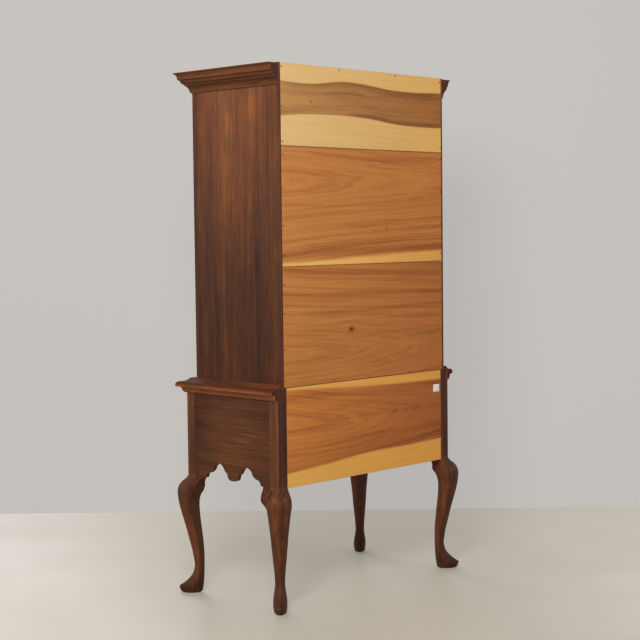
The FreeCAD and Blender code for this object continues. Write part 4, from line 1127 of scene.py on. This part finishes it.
# The paper tag: its size, its middle, how far it stands off the board, and how far its corners
# curl away from it.
TAG_WIDTH, TAG_HEIGHT, TAG_THICK = 39 * MM, 31 * MM, 0.18 * MM
TAG_PLACE = (-417 * MM, 247 * MM, 749 * MM)
TAG_GAP, TAG_CURL = 0.25 * MM, 0.6 * MM


class HIGHBOY_OT_tag(bpy.types.Operator):
    """Makes the blank paper tag on the back of the base"""

    bl_idname = "highboy.tag"
    bl_label = "Tag"

    def execute(self, context):
        shape = bmesh.new()
        bmesh.ops.create_grid(shape, x_segments=8, y_segments=6, size=0.5)
        size = Matrix.Diagonal((TAG_WIDTH, TAG_HEIGHT, 1, 1))
        upright = Matrix.Rotation(math.radians(-90), 4, "X")
        bmesh.ops.transform(shape, matrix=upright @ size, verts=shape.verts)
        for vertex in shape.verts:
            across = abs(vertex.co.x) / (TAG_WIDTH / 2)
            upward = abs(vertex.co.z) / (TAG_HEIGHT / 2)
            vertex.co.y = TAG_GAP + TAG_CURL * (across ** 4 * upward ** 4)
        bmesh.ops.translate(shape, vec=TAG_PLACE, verts=shape.verts)
        bmesh.ops.solidify(shape, geom=shape.faces[:], thickness=TAG_THICK)
        bmesh.ops.recalc_face_normals(shape, faces=shape.faces)
        for face in shape.faces:
            face.smooth = True
        tag = show_shape("blank_tag", shape, paper("tag_paper"))
        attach(tag, "base")
        return {"FINISHED"}


class HIGHBOY_PT_panel(bpy.types.Panel):
    """Lists the highboy's operators and settings"""

    bl_label = "Highboy"
    bl_space_type = "VIEW_3D"
    bl_region_type = "UI"
    bl_category = "Highboy"

    def draw(self, context):
        for operator in OPERATORS:
            self.layout.operator(operator.bl_idname)
        for name, group in SETTINGS.items():
            box = self.layout.box()
            for key in group.__annotations__:
                box.prop(getattr(context.scene, name), key)


SETTINGS = {
    "highboy_wood": HIGHBOY_PG_wood,
    "highboy_hardware": HIGHBOY_PG_hardware,
    "highboy_stage": HIGHBOY_PG_stage,
}
OPERATORS = (
    HIGHBOY_OT_stage, HIGHBOY_OT_back_boards, HIGHBOY_OT_case, HIGHBOY_OT_inside,
    HIGHBOY_OT_drawers, HIGHBOY_OT_hardware, HIGHBOY_OT_nails, HIGHBOY_OT_tag,
)


def register():
    for group in SETTINGS.values():
        bpy.utils.register_class(group)
    for operator in OPERATORS:
        bpy.utils.register_class(operator)
    bpy.utils.register_class(HIGHBOY_PT_panel)
    for name, group in SETTINGS.items():
        setattr(bpy.types.Scene, name, bpy.props.PointerProperty(type=group))


def unregister():
    for name in SETTINGS:
        delattr(bpy.types.Scene, name)
    bpy.utils.unregister_class(HIGHBOY_PT_panel)
    for operator in reversed(OPERATORS):
        bpy.utils.unregister_class(operator)
    for group in reversed(SETTINGS.values()):
        bpy.utils.unregister_class(group)


def main():
    register()
    bpy.ops.highboy.stage()
    bpy.ops.highboy.back_boards()
    bpy.ops.highboy.case()
    bpy.ops.highboy.inside()
    bpy.ops.highboy.drawers()
    bpy.ops.highboy.hardware()
    bpy.ops.highboy.nails()
    bpy.ops.highboy.tag()


if __name__ == "__main__":
    main()
